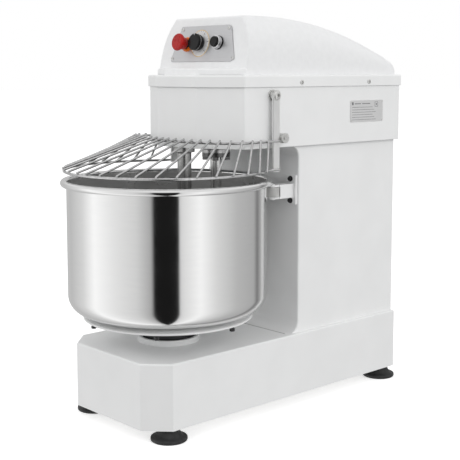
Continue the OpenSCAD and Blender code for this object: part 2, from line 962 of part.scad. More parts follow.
function hook_ring(s) =
    let (
        step = 0.002,
        along = hook_point(s + step) - hook_point(s - step),
        a = hook_turn(s),
        side = cross(along, [cos(a), sin(a), 0]),
        u = side / norm(side),
        v = cross(along, u) / norm(cross(along, u))
    )
    [for (j = [0:13]) hook_point(s) + hook_bar_r * (cos(j * 360 / 14) * u + sin(j * 360 / 14) * v)];

module spiral_hook() {
    stations = 64;
    color("gainsboro") translate([0, spiral_y, 0])
        loft([for (i = [0:stations]) hook_ring(i / stations)]);
}

// Hook flange and its four bolts, drawn with the heads below
module hook_bolts() {
    low = hook_flange_z;
    color("silver") {
        post(drive_flange_r, spiral_y, low, low + hook_flange_t);
        four_around(spiral_y, hook_bolt_circle) {
            translate([0, 0, low - 7.5]) cylinder(r = 7.5, h = 7.5, $fn = 6);
            translate([0, 0, low - 1]) cylinder(r = small_bolt_r, h = hook_flange_t + spindle_flange_t + 1);
        }
    }
}

// Straight bar with a round flange, held by four screws through the head's floor
module breaker_bar() {
    low = bowl_floor_z + 14;
    color("gainsboro") {
        post(breaker_r, breaker_y, low + 4, head_z);
        translate([0, breaker_y, low]) cylinder(r1 = breaker_r - 4, r2 = breaker_r, h = 4);
        post(breaker_flange_r, breaker_y, head_z - breaker_flange_t, head_z);
        four_around(breaker_y, breaker_bolt_circle) {
            translate([0, 0, head_z - 9]) cylinder(r = small_bolt_r, h = plate + 10);
            translate([0, 0, head_floor_z]) cylinder(r = 6.5, h = 6, $fn = 6);
        }
    }
}

// ---------- bowl guide rollers ----------

// Bracket bolted to the column's front wall, with two lugs that hold the roller's pin
module roller_brackets() {
    z0 = roller_z0 - lug_t - 0.5;
    z1 = roller_z0 + roller_h + lug_t + 0.5;
    wall = column_front_y;
    color("white") both_sides() {
        box(roller_x - 10, roller_x + 20, wall - 5, wall, z0 - 16, z1 + 20);
        difference() {
            box(roller_x - 12, roller_x + 12, roller_y + 12, wall - 4, z0, z1);
            post(roller_r + 2, roller_y, roller_z0 - 0.5, roller_z0 + roller_h + 0.5, roller_x);
        }
        for (z = [z0, z1 - lug_t]) {
            box(roller_x - 10, roller_x + 10, roller_y, roller_y + 13, z, z + lug_t);
            post(10, roller_y, z, z + lug_t, roller_x);
        }
        post(roller_pin_r, roller_y, z0 - 2, z1 + 2, roller_x);
    }
}

// Black screws that hold each bracket, one above its arm and one below
module bracket_screws() {
    under = roller_z0 - lug_t - 8;
    over = roller_z0 + roller_h + lug_t + 11.5;
    color("black") both_sides() for (z = [under, over])
        translate([roller_x + 4, column_front_y - 5, z]) rotate([90, 0, 0]) {
            cylinder(r = 6.5, h = 1.5);
            cylinder(r = 5, h = 6, $fn = 6);
        }
}

module roller(x) {
    bore_r = roller_pin_r + running_gap;
    color("lightgray") ring(roller_r, bore_r, roller_y, roller_z0, roller_z0 + roller_h, x);
}

module left_roller() {
    roller(-roller_x);
}

module right_roller() {
    roller(roller_x);
}

// ---------- guard ----------

// Flat arms hanging from the pivots beside the head
module guard_arms() {
    half_w = arm_w / 2;
    color("silver") both_sides() difference() {
        union() {
            box(arm_inner_x, arm_inner_x + arm_t, arm_y - half_w, arm_y + half_w, arm_bottom_z, pivot_z);
            cross_bar(half_w, arm_inner_x, arm_inner_x + arm_t, arm_y, pivot_z);
        }
        cross_bar(pivot_r, arm_inner_x - 1, arm_inner_x + arm_t + 1, arm_y, pivot_z);
    }
}

// Part of a wire ring in a level plane, from angle a0 through a span
module wire_arc(r, x, y, z, a0, span) {
    translate([x, y, z]) rotate([0, 0, a0]) rotate_extrude(angle = span)
        translate([r, 0]) circle(r = ring_wire_r);
}

module wire(from, to, r) {
    along = to - from;
    translate(from) rotate([0, acos(along.z / norm(along)), atan2(along.y, along.x)])
        cylinder(r = r, h = norm(along));
}

// A place on the inner ring, by the length of wire from its middle, and the wire's direction there
function inner_angle(s) =
    let (front = ring_front_r * ring_front_arc * PI / 180)
    s < front ? s / ring_front_r * 180 / PI
    : min(90, ring_front_arc + (s - front) / ring_corner_r * 180 / PI);
function inner_point(s) =
    let (
        a = inner_angle(s),
        front = ring_front_r * ring_front_arc * PI / 180,
        corner = ring_corner_r * (90 - ring_front_arc) * PI / 180
    )
    s < front ? [ring_front_r * sin(a), ring_front_y + ring_front_r * (1 - cos(a)), guard_inner_z]
    : s < front + corner
    ? [ring_x - ring_corner_r * (1 - sin(a)), ring_side_y - ring_corner_r * cos(a), guard_inner_z]
    : [ring_x, ring_side_y + s - front - corner, guard_inner_z];

// Step from a ring wire's middle to that of a spoke that crosses it on the outside and touches it
function wire_step(ring_dir, spoke_dir) =
    let (n = cross(ring_dir, spoke_dir))
    (ring_wire_r + spoke_wire_r - 0.05) * sign(n.z) * n / norm(n);

module spoke(i) {
    a = -90 + spoke_outer_first + spoke_outer_step * i;
    wire_length = spoke_first + spoke_step * i;
    ai = inner_angle(wire_length);
    inner = inner_point(wire_length);
    outer = [guard_r * cos(a), bowl_y + guard_r * sin(a), guard_outer_z];
    flat = outer - inner;
    along = flat / norm(flat);
    top = inner + wire_step([cos(ai), sin(ai), 0], along);
    low = outer + wire_step([-sin(a), cos(a), 0], along);
    wire(top - spoke_over_inner * along, low + spoke_over_outer * along, spoke_wire_r);
}

// Two bent wire rings: a round one over the bowl's rim and a squarer one around the head
module guard_rings() {
    outer_end_y = bowl_y + guard_r * sin(outer_end_angle);
    front_centre_y = ring_front_y + ring_front_r;
    corner_x = ring_x - ring_corner_r;
    color("silver") {
        wire_arc(guard_r, 0, bowl_y, guard_outer_z, -180 - outer_end_angle, 180 + 2 * outer_end_angle);
        wire_arc(ring_front_r, 0, front_centre_y, guard_inner_z, -90 - ring_front_arc, 2 * ring_front_arc);
        both_sides() {
            corner_arc = 90 - ring_front_arc;
            wire_arc(ring_corner_r, corner_x, ring_side_y, guard_inner_z, -corner_arc, corner_arc);
            wire([ring_x, ring_side_y, guard_inner_z], [ring_x, ring_end_y, guard_inner_z], ring_wire_r);
            translate([ring_x, outer_end_y, guard_outer_z]) sphere(r = ring_wire_r);
            wire([ring_x, outer_end_y, guard_outer_z], [ring_x, ring_end_y, guard_outer_z], ring_wire_r);
        }
    }
}

// Spokes that fan out across the rings and are welded on the outside of them
module guard_spokes() {
    color("silver") both_sides() for (i = [0:guard_side_spokes - 1]) spoke(i);
}

// Pivot screws through the skirt, with spacers, and the switch cam on the right-hand one
module guard_pivots() {
    side_x = head_w / 2;
    color("silver") {
        both_sides() {
            cross_bar(pivot_r, side_x - 30, arm_inner_x + arm_t, arm_y, pivot_z);
            cross_bar(10.5, side_x + 4, arm_inner_x, arm_y, pivot_z);
            cross_bar(11.5, arm_inner_x + arm_t, arm_inner_x + arm_t + 5, arm_y, pivot_z);
        }
        difference() {
            cross_bar(16, side_x - 28, side_x - 23, arm_y, pivot_z);
            box(side_x - 30, side_x - 20, arm_y + 9, arm_y + 20, pivot_z - 20, pivot_z + 20);
        }
    }
}

// Pivot bushes, rest stops and the interlock switch, all fixed to the skirt
module guard_stops() {
    side_x = head_w / 2;
    color("gray") {
        both_sides() {
            difference() {
                union() {
                    cross_bar(10, side_x - 10, side_x + 1, arm_y, pivot_z);
                    cross_bar(13, side_x, side_x + 3.5, arm_y, pivot_z);
                    cross_bar(14, side_x - 9, side_x - sheet, arm_y, pivot_z);
                }
                cross_bar(pivot_r + running_gap, side_x - 12, side_x + 5, arm_y, pivot_z);
            }
            cross_bar(stop_r, side_x, side_x + 21, stop_y, stop_z);
            cross_bar(5, side_x + 20, side_x + 23, stop_y, stop_z);
            cross_bar(small_bolt_r, side_x - 6, side_x + 1, stop_y, stop_z);
            cross_bar(9, side_x - 7, side_x - sheet, stop_y, stop_z);
        }
        box(side_x - 40, side_x - sheet, arm_y + 17, arm_y + 48, pivot_z - 14, pivot_z + 14);
    }
}

centred() base_housing();
centred() floor_pan();
centred() machine_feet();
centred() foot_bolts();
centred() base_frame();
centred() bowl_collar();
centred() column_shell();
centred() column_front_sheet();
centred() column_frame();
centred() rear_panel();
centred() rear_panel_screws();
centred() cable_gland();
centred() electrical_box();
centred() electrical_box_lid();
centred() contactors();
centred() head_skirt();
centred() head_floor_plate();
centred() cover_rim();
centred() top_cover();
centred() cover_screws();
centred() control_plate();
centred() control_plate_screws();
centred() rating_plate();
centred() rating_plate_rivets();
centred() estop_collar();
centred() control_blocks();
centred() estop_stem();
centred() estop_head();
centred() timer_knob();
centred() start_bezel();
centred() start_button();
centred() motor_body();
centred() motor_plate();
centred() motor_rotor();
centred() countershaft();
centred() layshaft();
centred() shaft_housings();
centred() shaft_bearings();
centred() spindle_housing();
centred() motor_belts();
centred() spiral_belts();
centred() base_belts();
centred() bowl_housing();
centred() bowl_shell();
centred() bowl_dish();
centred() dish_studs();
centred() bowl_spindle();
centred() spindle();
centred() spiral_hook();
centred() hook_bolts();
centred() breaker_bar();
centred() roller_brackets();
centred() bracket_screws();
centred() left_roller();
centred() right_roller();
centred() guard_arms();
centred() guard_rings();
centred() guard_spokes();
centred() guard_pivots();
centred() guard_stops();
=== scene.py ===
"""Looks of a spiral dough mixer: painted sheet metal, a moulded cover, a stainless bowl and a wire guard.

Lengths are in millimetres, measured as in the part's design: X across the machine, Y back from the
base's front face, Z up from the floor. piece() turns them into metres in the shared frame.
"""

import math

import bmesh
import bpy
from mathutils import Matrix, Vector


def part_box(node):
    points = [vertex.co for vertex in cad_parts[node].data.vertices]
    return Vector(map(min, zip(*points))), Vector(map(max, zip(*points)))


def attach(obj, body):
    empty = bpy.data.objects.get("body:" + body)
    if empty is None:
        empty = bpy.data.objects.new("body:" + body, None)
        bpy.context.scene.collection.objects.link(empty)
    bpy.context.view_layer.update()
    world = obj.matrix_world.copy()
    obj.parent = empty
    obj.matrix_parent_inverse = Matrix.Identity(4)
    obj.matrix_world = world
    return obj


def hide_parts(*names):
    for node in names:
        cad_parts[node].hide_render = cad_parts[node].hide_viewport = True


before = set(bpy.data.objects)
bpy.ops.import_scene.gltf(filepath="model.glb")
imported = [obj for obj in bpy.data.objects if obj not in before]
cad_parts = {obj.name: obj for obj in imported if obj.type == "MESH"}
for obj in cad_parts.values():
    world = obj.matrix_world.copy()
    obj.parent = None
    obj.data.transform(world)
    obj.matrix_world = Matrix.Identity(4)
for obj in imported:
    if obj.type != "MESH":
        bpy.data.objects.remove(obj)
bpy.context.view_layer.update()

MM = 0.001
FRONT_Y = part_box("base_housing")[0].y

# Base, column and head
BASE_HALF_W = 167.5
BASE_L = 786
BASE_CORNER = 50
BASE_BOTTOM = 28
BASE_TOP = 174
COLUMN_HALF_W = 158
COLUMN_FRONT = 437
THROAT_R = 27
HEAD_HALF_W = 167.5
HEAD_FRONT_HALF = 69
HEAD_FRONT = 200
HEAD_CORNER = 256
HEAD_REAR = 792.5
HEAD_BOTTOM = 615
SKIRT_TOP = 775.5
RIM_BOTTOM = 751
RIM_OUT = 4
COVER_FOOT = 777.5
COVER_TOP = 910
SHEET = 2
REAR_OPENING = 138
COLLAR_HOLE = 64
COLLAR_R = 71
COLLAR_TOP = 187.5
FOOT_R = 40

# Cover: its sides and rear lean in towards the top, and its ridge falls towards the rear
COVER_HALF_W = 155
COVER_SIDE_LEAN = 37
COVER_REAR = 790
COVER_REAR_LEAN = 19
RIDGE_FLAT = 340
RIDGE_REAR = 772
RIDGE_FALL = 85.4
STEP_FRONT = 214.5
STEP_REAR = 330
STEP_CORNER = (98, 55.5)
STEP_H = 16
STEP_CORNER_R = 8
COVER_SCREW_YS = (431, 667)

# Bowl, spiral, breaker bar
BOWL_Y = 173
BOWL_R = 226.5
BOWL_RIM_R = 239.95
BOWL_RIM_Z = 539.5
BOWL_UNDER = 245.5
BOWL_BEND = 41
BOWL_WALL_ZS = (340, 400, 460, 505)
DISH_R = 193
DISH_T = 17
DISH_SHELF_R = 150
SPIRAL_Y = 320.6
BREAKER_Y = 223.5
HOOK_R = 13
HOOK_PATH_R = 55
HOOK_DRAW_IN = 20
HOOK_TURN = 560
HOOK_TOP = 587
HOOK_LOW = 266.5

# Guard
GUARD_R = 231
GUARD_OUTER_Z = 567
GUARD_INNER_Z = 631
RING_R = 3
SPOKE_R = 2.5
RING_X = 185.5
RING_FRONT_Y = 170
RING_CORNER_R = 70
RING_FRONT_ARC = math.radians(20)
SPOKE_FIRST = 10
SPOKE_STEP = 24
SPOKE_OUTER_FIRST = 4
SPOKE_OUTER_STEP = 10.4
SIDE_SPOKES = 12
BEAD_R = 2.8
BEAD_LIFT = 0.55
ARM_Y = 339.4
ARM_IN = 177.5
ARM_OUT = 182.5
ARM_HALF_W = 10
PIVOT_Z = 732.7
RING_FRONT_R = RING_CORNER_R + (RING_X - RING_CORNER_R) / math.sin(RING_FRONT_ARC)
RING_SIDE_Y = RING_FRONT_Y + RING_FRONT_R - (RING_FRONT_R - RING_CORNER_R) * math.cos(RING_FRONT_ARC)
RING_END_Y = ARM_Y + 7.5
RING_FRONT_WIRE = RING_FRONT_R * RING_FRONT_ARC
RING_CORNER_WIRE = RING_CORNER_R * (math.pi / 2 - RING_FRONT_ARC)

# Control face
FACE_SLOPE = 0.193
FACE_AT = (275, 800)
TILT = math.atan(FACE_SLOPE)
ESTOP = (-57, 848)
TIMER = (-12.5, 850)
START = (51, 850.5)
PLATE_MID_Z = 849
PLATE_T = 1.5
PLATE_HALF_LOW = 113
PLATE_HALF_TOP = 86
PLATE_HALF_H = 42
DIAL_R = 30.2
DIAL_MARKS = 21
DIAL_START = 225
DIAL_STEP = 13.5
DIAL_NUMBER_R = 24
DIAL_NUMBER_SIZE = 4.4
KNOB_R = 19.5
KNOB_FLUTES = 24
LABEL_Y = 664
LABEL_Z = 689.5
LABEL_HALF_L = 61
LABEL_HALF_H = 26.5
RIVET_Y = 57
RIVET_Z = 22.5

# Share of the noise range that a change of tone or gloss uses, and the angle of a kept edge that is rounded
NOISE_LOW = 0.3
NOISE_HIGH = 0.7
KEPT_EDGE_ANGLE = math.radians(40)


# ---------- materials ----------


class Paint:
    """A procedural material: two mixed tones, uneven gloss and a fine bump, all in object space."""

    def __init__(self, name, **shader):
        self.material = bpy.data.materials.new(name)
        self.material.use_nodes = True
        self.tree = self.material.node_tree
        self.shader = self.tree.nodes["Principled BSDF"]
        self.place = self.tree.nodes.new("ShaderNodeTexCoord").outputs["Object"]
        self.normal = None
        for socket, value in shader.items():
            self.shader.inputs[socket.replace("_", " ")].default_value = value

    def link(self, a, b):
        self.tree.links.new(a, b)

    def noise(self, size_mm, stretch=(1, 1, 1), detail=4.0):
        """Noise whose features are about size_mm across, longer along an axis with a small stretch."""
        mapping = self.tree.nodes.new("ShaderNodeMapping")
        mapping.inputs["Scale"].default_value = stretch
        self.link(self.place, mapping.inputs["Vector"])
        noise = self.tree.nodes.new("ShaderNodeTexNoise")
        noise.inputs["Scale"].default_value = 1 / (size_mm * MM)
        noise.inputs["Detail"].default_value = detail
        self.link(mapping.outputs["Vector"], noise.inputs["Vector"])
        return noise.outputs["Fac"]

    def tones(self, dark, light, fac):
        ramp = self.tree.nodes.new("ShaderNodeValToRGB")
        ramp.color_ramp.elements[0].position = NOISE_LOW
        ramp.color_ramp.elements[1].position = NOISE_HIGH
        ramp.color_ramp.elements[0].color = (*dark, 1)
        ramp.color_ramp.elements[1].color = (*light, 1)
        self.link(fac, ramp.inputs["Fac"])
        self.link(ramp.outputs["Color"], self.shader.inputs["Base Color"])

    def gloss(self, low, high, fac):
        spread = self.tree.nodes.new("ShaderNodeMapRange")
        spread.inputs["From Min"].default_value = NOISE_LOW
        spread.inputs["From Max"].default_value = NOISE_HIGH
        spread.inputs["To Min"].default_value = low
        spread.inputs["To Max"].default_value = high
        self.link(fac, spread.inputs["Value"])
        self.link(spread.outputs["Result"], self.shader.inputs["Roughness"])

    def bump(self, fac, strength, depth_mm):
        bump = self.tree.nodes.new("ShaderNodeBump")
        bump.inputs["Strength"].default_value = strength
        bump.inputs["Distance"].default_value = depth_mm * MM
        self.link(fac, bump.inputs["Height"])
        if self.normal:
            self.link(self.normal, bump.inputs["Normal"])
        self.normal = bump.outputs["Normal"]
        self.link(self.normal, self.shader.inputs["Normal"])


def grey(value):
    return value, value, value


def powder_coat(name, dark, light, rough=(0.34, 0.44)):
    """Powder coat: a faint orange-peel skin over an even colour, with broad soft changes of gloss."""
    p = Paint(name, Specular_IOR_Level=0.45, Coat_Weight=0.12, Coat_Roughness=0.25)
    p.tones(dark, light, p.noise(90, detail=2))
    p.gloss(*rough, p.noise(35, detail=3))
    p.bump(p.noise(1.6, detail=2), 0.10, 0.05)
    return p.material


def moulded(name, dark, light, rough=(0.3, 0.4), grain=0.9, depth=0.03, shine=0.5):
    """Moulded plastic: a fine even grain and slight changes of tone."""
    p = Paint(name, Specular_IOR_Level=shine)
    p.tones(dark, light, p.noise(14, detail=4))
    p.gloss(*rough, p.noise(9, detail=3))
    p.bump(p.noise(grain, detail=2), 0.12, depth)
    return p.material


def metal(name, dark, light, rough, along, line_mm, depth=0.01, cloud=40, pure=1.0):
    """Bare metal with fine working marks that run where 'along' is small."""
    p = Paint(name, Metallic=pure)
    marks = p.noise(line_mm, along, detail=3)
    p.tones(dark, light, marks)
    p.gloss(*rough, p.noise(cloud, detail=3))
    p.bump(marks, 0.15, depth)
    return p.material


def cast(name, dark, light, rough=(0.5, 0.65)):
    """Painted casting with a pitted skin."""
    p = Paint(name, Specular_IOR_Level=0.4)
    p.tones(dark, light, p.noise(12, detail=6))
    p.gloss(*rough, p.noise(8, detail=4))
    p.bump(p.noise(2.2, detail=6), 0.45, 0.25)
    return p.material


ROUND_Z = (0.02, 0.02, 1)
ALONG_X = (0.02, 1, 1)
ALONG_Y = (1, 0.02, 1)
ALONG_Z = (1, 1, 0.02)
EVEN = (1, 1, 1)

WHITE = powder_coat("White powder coat", (0.86, 0.865, 0.865), (0.89, 0.895, 0.895))
COVER = moulded("White moulded cover", (0.83, 0.835, 0.84), (0.86, 0.865, 0.87), (0.36, 0.42), 0.8, 0.01)
BOWL = metal("Polished stainless bowl", grey(0.735), (0.765, 0.765, 0.76), (0.08, 0.12), ROUND_Z,
             0.9, 0.0012, 60)
BOWL_INSIDE = metal("Satin stainless inside", (0.52, 0.52, 0.515), (0.60, 0.60, 0.595), (0.20, 0.30), ROUND_Z,
                    0.9, 0.004, 60, 0.62)
DISH = powder_coat("White dish paint", (0.88, 0.885, 0.885), (0.92, 0.925, 0.925), (0.3, 0.42))
HOOK = metal("Polished stainless hook", grey(0.62), (0.74, 0.74, 0.73), (0.14, 0.24), ALONG_Z, 1.1)
BAR = metal("Brushed flat bar", grey(0.78), (0.92, 0.92, 0.91), (0.34, 0.46), ALONG_Z, 0.8, 0.02)
ROUND_BAR = metal("Turned round bar", grey(0.34), (0.48, 0.48, 0.47), (0.16, 0.26), ALONG_Z, 1.6)
WIRE = metal("Bright guard wire", grey(0.46), grey(0.62), (0.10, 0.2), EVEN, 6, 0.008)
CHROME = metal("Bright trim", (0.74, 0.74, 0.75), (0.84, 0.84, 0.85), (0.06, 0.14), EVEN, 5, 0.003)
ZINC = metal("Zinc plate", (0.62, 0.62, 0.61), (0.80, 0.80, 0.78), (0.26, 0.40), EVEN, 4, 0.02, 12)
# Dark colour for the hook's flange and bolts: painted shade from under the head
DARK_STEEL_PAINTED_SHADE = metal("Dark steel with painted shade", grey(0.10), grey(0.19), (0.2, 0.3), ROUND_Z, 0.9)
STEEL = metal("Turned steel", grey(0.46), grey(0.60), (0.24, 0.36), ROUND_Z, 0.7, 0.02)
GROUND = metal("Ground bearing steel", (0.58, 0.59, 0.60), (0.68, 0.69, 0.70), (0.16, 0.24), ROUND_Z, 0.4)
PANEL = metal("Brushed control plate", (0.54, 0.54, 0.55), (0.60, 0.60, 0.61), (0.38, 0.48), ALONG_X, 0.5)
LABEL = metal("Brushed rating plate", grey(0.84), grey(0.92), (0.32, 0.42), ALONG_Y, 0.4)
RUBBER = moulded("Black foot rubber", (0.012, 0.012, 0.013), (0.03, 0.03, 0.031), (0.55, 0.72), 1.3, 0.08)
BELT = moulded("Belt rubber", grey(0.012), grey(0.028), (0.62, 0.78), 0.8, 0.1)
BLACK = moulded("Black plastic", grey(0.004), (0.009, 0.009, 0.010), (0.14, 0.24), 0.8, 0.01, 0.22)
BLACK_STEEL = powder_coat("Blackened steel", (0.012, 0.012, 0.013), (0.03, 0.03, 0.032), (0.3, 0.45))
RED = moulded("Red plastic", (0.36, 0.006, 0.006), (0.46, 0.012, 0.010), (0.22, 0.34), 0.8, 0.02, 0.28)
ORANGE = moulded("Orange plastic", (0.82, 0.17, 0.005), (0.92, 0.23, 0.01), (0.3, 0.4), 0.8, 0.02, 0.3)
GREY_PLASTIC = moulded("Grey plastic", (0.10, 0.10, 0.11), (0.15, 0.15, 0.16), (0.35, 0.45))
IVORY = moulded("Ivory plastic", (0.66, 0.63, 0.53), (0.74, 0.71, 0.61), (0.35, 0.48))
NYLON = moulded("Grey nylon", (0.42, 0.42, 0.41), (0.54, 0.54, 0.53), (0.42, 0.55), 0.7, 0.04)
PRIMER = powder_coat("Grey primer", (0.26, 0.27, 0.28), (0.33, 0.34, 0.35), (0.5, 0.65))
GREY_PAINT = powder_coat("Grey box paint", (0.44, 0.45, 0.45), (0.52, 0.53, 0.53), (0.4, 0.5))
# Dark grey strip colour: painted shade for the crease where the column's sheet meets the base
SEAM_SHADE_GREY = moulded("Grey strip for painted seam shade", grey(0.10), grey(0.16), (0.5, 0.6), 1.2, 0.05)
MOTOR = cast("Blue motor enamel", (0.05, 0.11, 0.2), (0.08, 0.16, 0.28), (0.32, 0.45))
CAST = cast("Grey casting", (0.18, 0.19, 0.2), (0.27, 0.28, 0.29))
INK = moulded("Dark print", (0.05, 0.05, 0.055), (0.09, 0.09, 0.095), (0.4, 0.5), 0.6, 0.01)
GREY_INK = moulded("Grey print", (0.16, 0.16, 0.17), (0.24, 0.24, 0.25), (0.4, 0.5), 0.6, 0.01)
GOLD_INK = moulded("Gold dial print", (0.66, 0.45, 0.17), (0.76, 0.54, 0.24), (0.36, 0.46), 0.6, 0.01)
DIAL = moulded("White dial print", grey(0.70), grey(0.76), (0.36, 0.46), 0.6, 0.01)


# ---------- mesh helpers ----------


def piece(name, bm, material, body, replaced=(), smooth_angle=35):
    """Makes one object from a mesh in design lengths, and hangs it on its body."""
    bmesh.ops.remove_doubles(bm, verts=bm.verts, dist=0.001)
    bmesh.ops.recalc_face_normals(bm, faces=bm.faces)
    mesh = bpy.data.meshes.new(name)
    bm.to_mesh(mesh)
    bm.free()
    mesh.transform(Matrix.Translation((0, FRONT_Y, 0)) @ Matrix.Scale(MM, 4))
    mesh.materials.append(material)
    mesh.polygons.foreach_set("use_smooth", [True] * len(mesh.polygons))
    mesh.set_sharp_from_angle(angle=math.radians(smooth_angle))
    obj = bpy.data.objects.new(name, mesh)
    bpy.context.scene.collection.objects.link(obj)
    even = obj.modifiers.new("Even shading", "WEIGHTED_NORMAL")
    even.keep_sharp = True
    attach(obj, body)
    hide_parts(*replaced)
    return obj


def loop_verts(bm, points):
    return [bm.verts.new(p) for p in points]


def bridge(bm, a, b, closed=True):
    """Quads between two rings of the same count."""
    count = len(a)
    for i in range(count if closed else count - 1):
        j = (i + 1) % count
        bm.faces.new((a[i], a[j], b[j], b[i]))


def fill(bm, *rings):
    """A flat face inside the first ring, with a hole for each other ring."""
    edges = []
    for ring in rings:
        for i, v in enumerate(ring):
            other = ring[(i + 1) % len(ring)]
            edges.append(bm.edges.get((v, other)) or bm.edges.new((v, other)))
    bmesh.ops.triangle_fill(bm, use_beauty=True, use_dissolve=False, edges=edges)


def rounded(corners, radii, steps=5):
    """Closed outline of a polygon with each corner rounded."""
    out = []
    count = len(corners)
    for i, corner in enumerate(corners):
        p = Vector(corner)
        a = (Vector(corners[i - 1]) - p).normalized()
        b = (Vector(corners[(i + 1) % count]) - p).normalized()
        radius = radii if isinstance(radii, (int, float)) else radii[i]
        half = a.angle(b) / 2
        centre = p + (a + b).normalized() * (radius / math.sin(half))
        start = p + a * (radius / math.tan(half)) - centre
        end = p + b * (radius / math.tan(half)) - centre
        for k in range(steps + 1):
            out.append(tuple(centre + radius * start.slerp(end, k / steps, start)))
    return out


def slanted_plan(half_w, y0, y1, cx, cy, inset=0.0):
    """Outline with slanted front corners, inset evenly."""
    slant = math.hypot(cx, cy)
    front_x = half_w - cx - inset * (slant - cx) / cy
    side_y = y0 + cy + inset * (slant - cy) / cx
    side_x = half_w - inset
    return [(-front_x, y0 + inset), (front_x, y0 + inset), (side_x, side_y),
            (side_x, y1 - inset), (-side_x, y1 - inset), (-side_x, side_y)]


def base_outline(inset):
    plan = slanted_plan(BASE_HALF_W, 0, BASE_L, BASE_CORNER, BASE_CORNER, inset)
    return rounded(plan, max(4 - inset, 0.6))


def head_outline(inset):
    cx, cy = HEAD_HALF_W - HEAD_FRONT_HALF, HEAD_CORNER - HEAD_FRONT
    plan = slanted_plan(HEAD_HALF_W, HEAD_FRONT, HEAD_REAR, cx, cy, inset)
    return rounded(plan, max(5 - inset, 0.6))


def level(outline, z):
    return [(x, y, z) for x, y in outline]


def stack(bm, rings):
    """Joins rings one above the other and returns their vertices."""
    made = [loop_verts(bm, ring) for ring in rings]
    for a, b in zip(made, made[1:]):
        bridge(bm, a, b)
    return made


def cap(bm, rings):
    """Flat faces over the first and the last ring of vertices."""
    fill(bm, rings[0])
    fill(bm, rings[-1])


def join(bm, rings):
    """Bridges rings of vertices in turn and closes both ends."""
    for a, b in zip(rings, rings[1:]):
        bridge(bm, a, b)
    cap(bm, rings)


def edge_curve(radius, steps=4):
    """Inset and drop of a rounded edge, from the side face to the top face."""
    for k in range(steps + 1):
        a = math.pi / 2 * k / steps
        yield radius * (1 - math.cos(a)), radius * (1 - math.sin(a))


def circle_ring(x, y, z, r, count=64):
    return [(x + r * math.cos(t), y + r * math.sin(t), z)
            for t in (2 * math.pi * i / count for i in range(count))]


def polar_ring(bm, matrix, radius, height, count, shift=0.0):
    """Vertices round a matrix's Z axis, at one radius or at one that depends on the angle."""
    out = []
    for i in range(count):
        t = 2 * math.pi * (i + shift) / count
        r = radius(t) if callable(radius) else radius
        out.append(bm.verts.new(matrix @ Vector((r * math.cos(t), r * math.sin(t), height))))
    return out


def lathe(bm, profile, at, count=96, turn=None, closed=True):
    """Turns (radius, height) points about an upright axis, or about the axis that 'turn' gives."""
    matrix = (turn or Matrix.Identity(4)).copy()
    matrix.translation = Vector(at)
    rings = []
    for r, h in profile:
        if r < 1e-6:
            rings.append([bm.verts.new(matrix @ Vector((0, 0, h)))])
        else:
            rings.append(polar_ring(bm, matrix, r, h, count))
    pairs = list(zip(rings, rings[1:])) + ([(rings[-1], rings[0])] if closed else [])
    for a, b in pairs:
        if len(a) > 1 and len(b) > 1:
            bridge(bm, a, b)
        elif len(a) > 1 or len(b) > 1:
            tip, ring = (a[0], b) if len(a) == 1 else (b[0], a)
            for i in range(len(ring)):
                bm.faces.new((tip, ring[i], ring[(i + 1) % len(ring)]))


def eased(profile, radius):
    """Rounds every corner of a closed lathe profile that stays off the axis."""
    steps = 3
    out = []
    count = len(profile)
    for i, corner in enumerate(profile):
        p = Vector(corner)
        a, b = Vector(profile[i - 1]) - p, Vector(profile[(i + 1) % count]) - p
        reach = min(radius, a.length * 0.45, b.length * 0.45)
        if corner[0] < 1e-6 or reach < 0.02:
            out.append(corner)
            continue
        first, last = p + a.normalized() * reach, p + b.normalized() * reach
        for k in range(steps + 1):
            t = k / steps
            out.append(tuple(first * (1 - t) ** 2 + p * 2 * t * (1 - t) + last * t ** 2))
    return out


def tube(bm, points, radius, sides=12):
    """A round bar along points, with domed ends."""
    pts = [Vector(p) for p in points]
    count = len(pts)
    rings = []
    side = None
    for i, p in enumerate(pts):
        along = (pts[min(i + 1, count - 1)] - pts[max(i - 1, 0)]).normalized()
        if side is None:
            side = along.cross(Vector((0, 0, 1)) if abs(along.z) < 0.9 else Vector((1, 0, 0)))
        side = (side - along * side.dot(along)).normalized()
        up = along.cross(side)

        def ring(centre, r):
            return [bm.verts.new(centre + r * (math.cos(t) * side + math.sin(t) * up))
                    for t in (2 * math.pi * k / sides for k in range(sides))]

        if i == 0:
            rings += [ring(p + along * radius * (1 - math.cos(a)), max(radius * math.sin(a), 0.05))
                      for a in (0.25, 0.7, 1.15)]
        elif i == count - 1:
            rings += [ring(p - along * radius * (1 - math.cos(a)), max(radius * math.sin(a), 0.05))
                      for a in (1.15, 0.7, 0.25)]
        else:
            rings.append(ring(p, radius))
    for a, b in zip(rings, rings[1:]):
        bridge(bm, a, b)
    bm.faces.new(rings[0])
    bm.faces.new(rings[-1])


def block(bm, corners, z0, z1, matrix=None):
    """A straight-sided block on an outline."""
    low, high = stack(bm, [level(corners, z0), level(corners, z1)])
    cap(bm, (low, high))
    if matrix is not None:
        bmesh.ops.transform(bm, matrix=matrix, verts=low + high)


def rectangle(x0, x1, y0, y1):
    return [(x0, y0), (x1, y0), (x1, y1), (x0, y1)]


def sideways(sign=1):
    """Turns local +Z to point out of the machine's side."""
    return Matrix.Rotation(sign * math.pi / 2, 4, "Y")


def face_y(z):
    """Y of the sloping control face at a height."""
    y, z_there = FACE_AT
    return y + FACE_SLOPE * (z - z_there)


def on_panel(x, z):
    """Local +Z points out of the control face."""
    return Matrix.Translation((x, face_y(z), z)) @ Matrix.Rotation(math.pi / 2 - TILT, 4, "X")


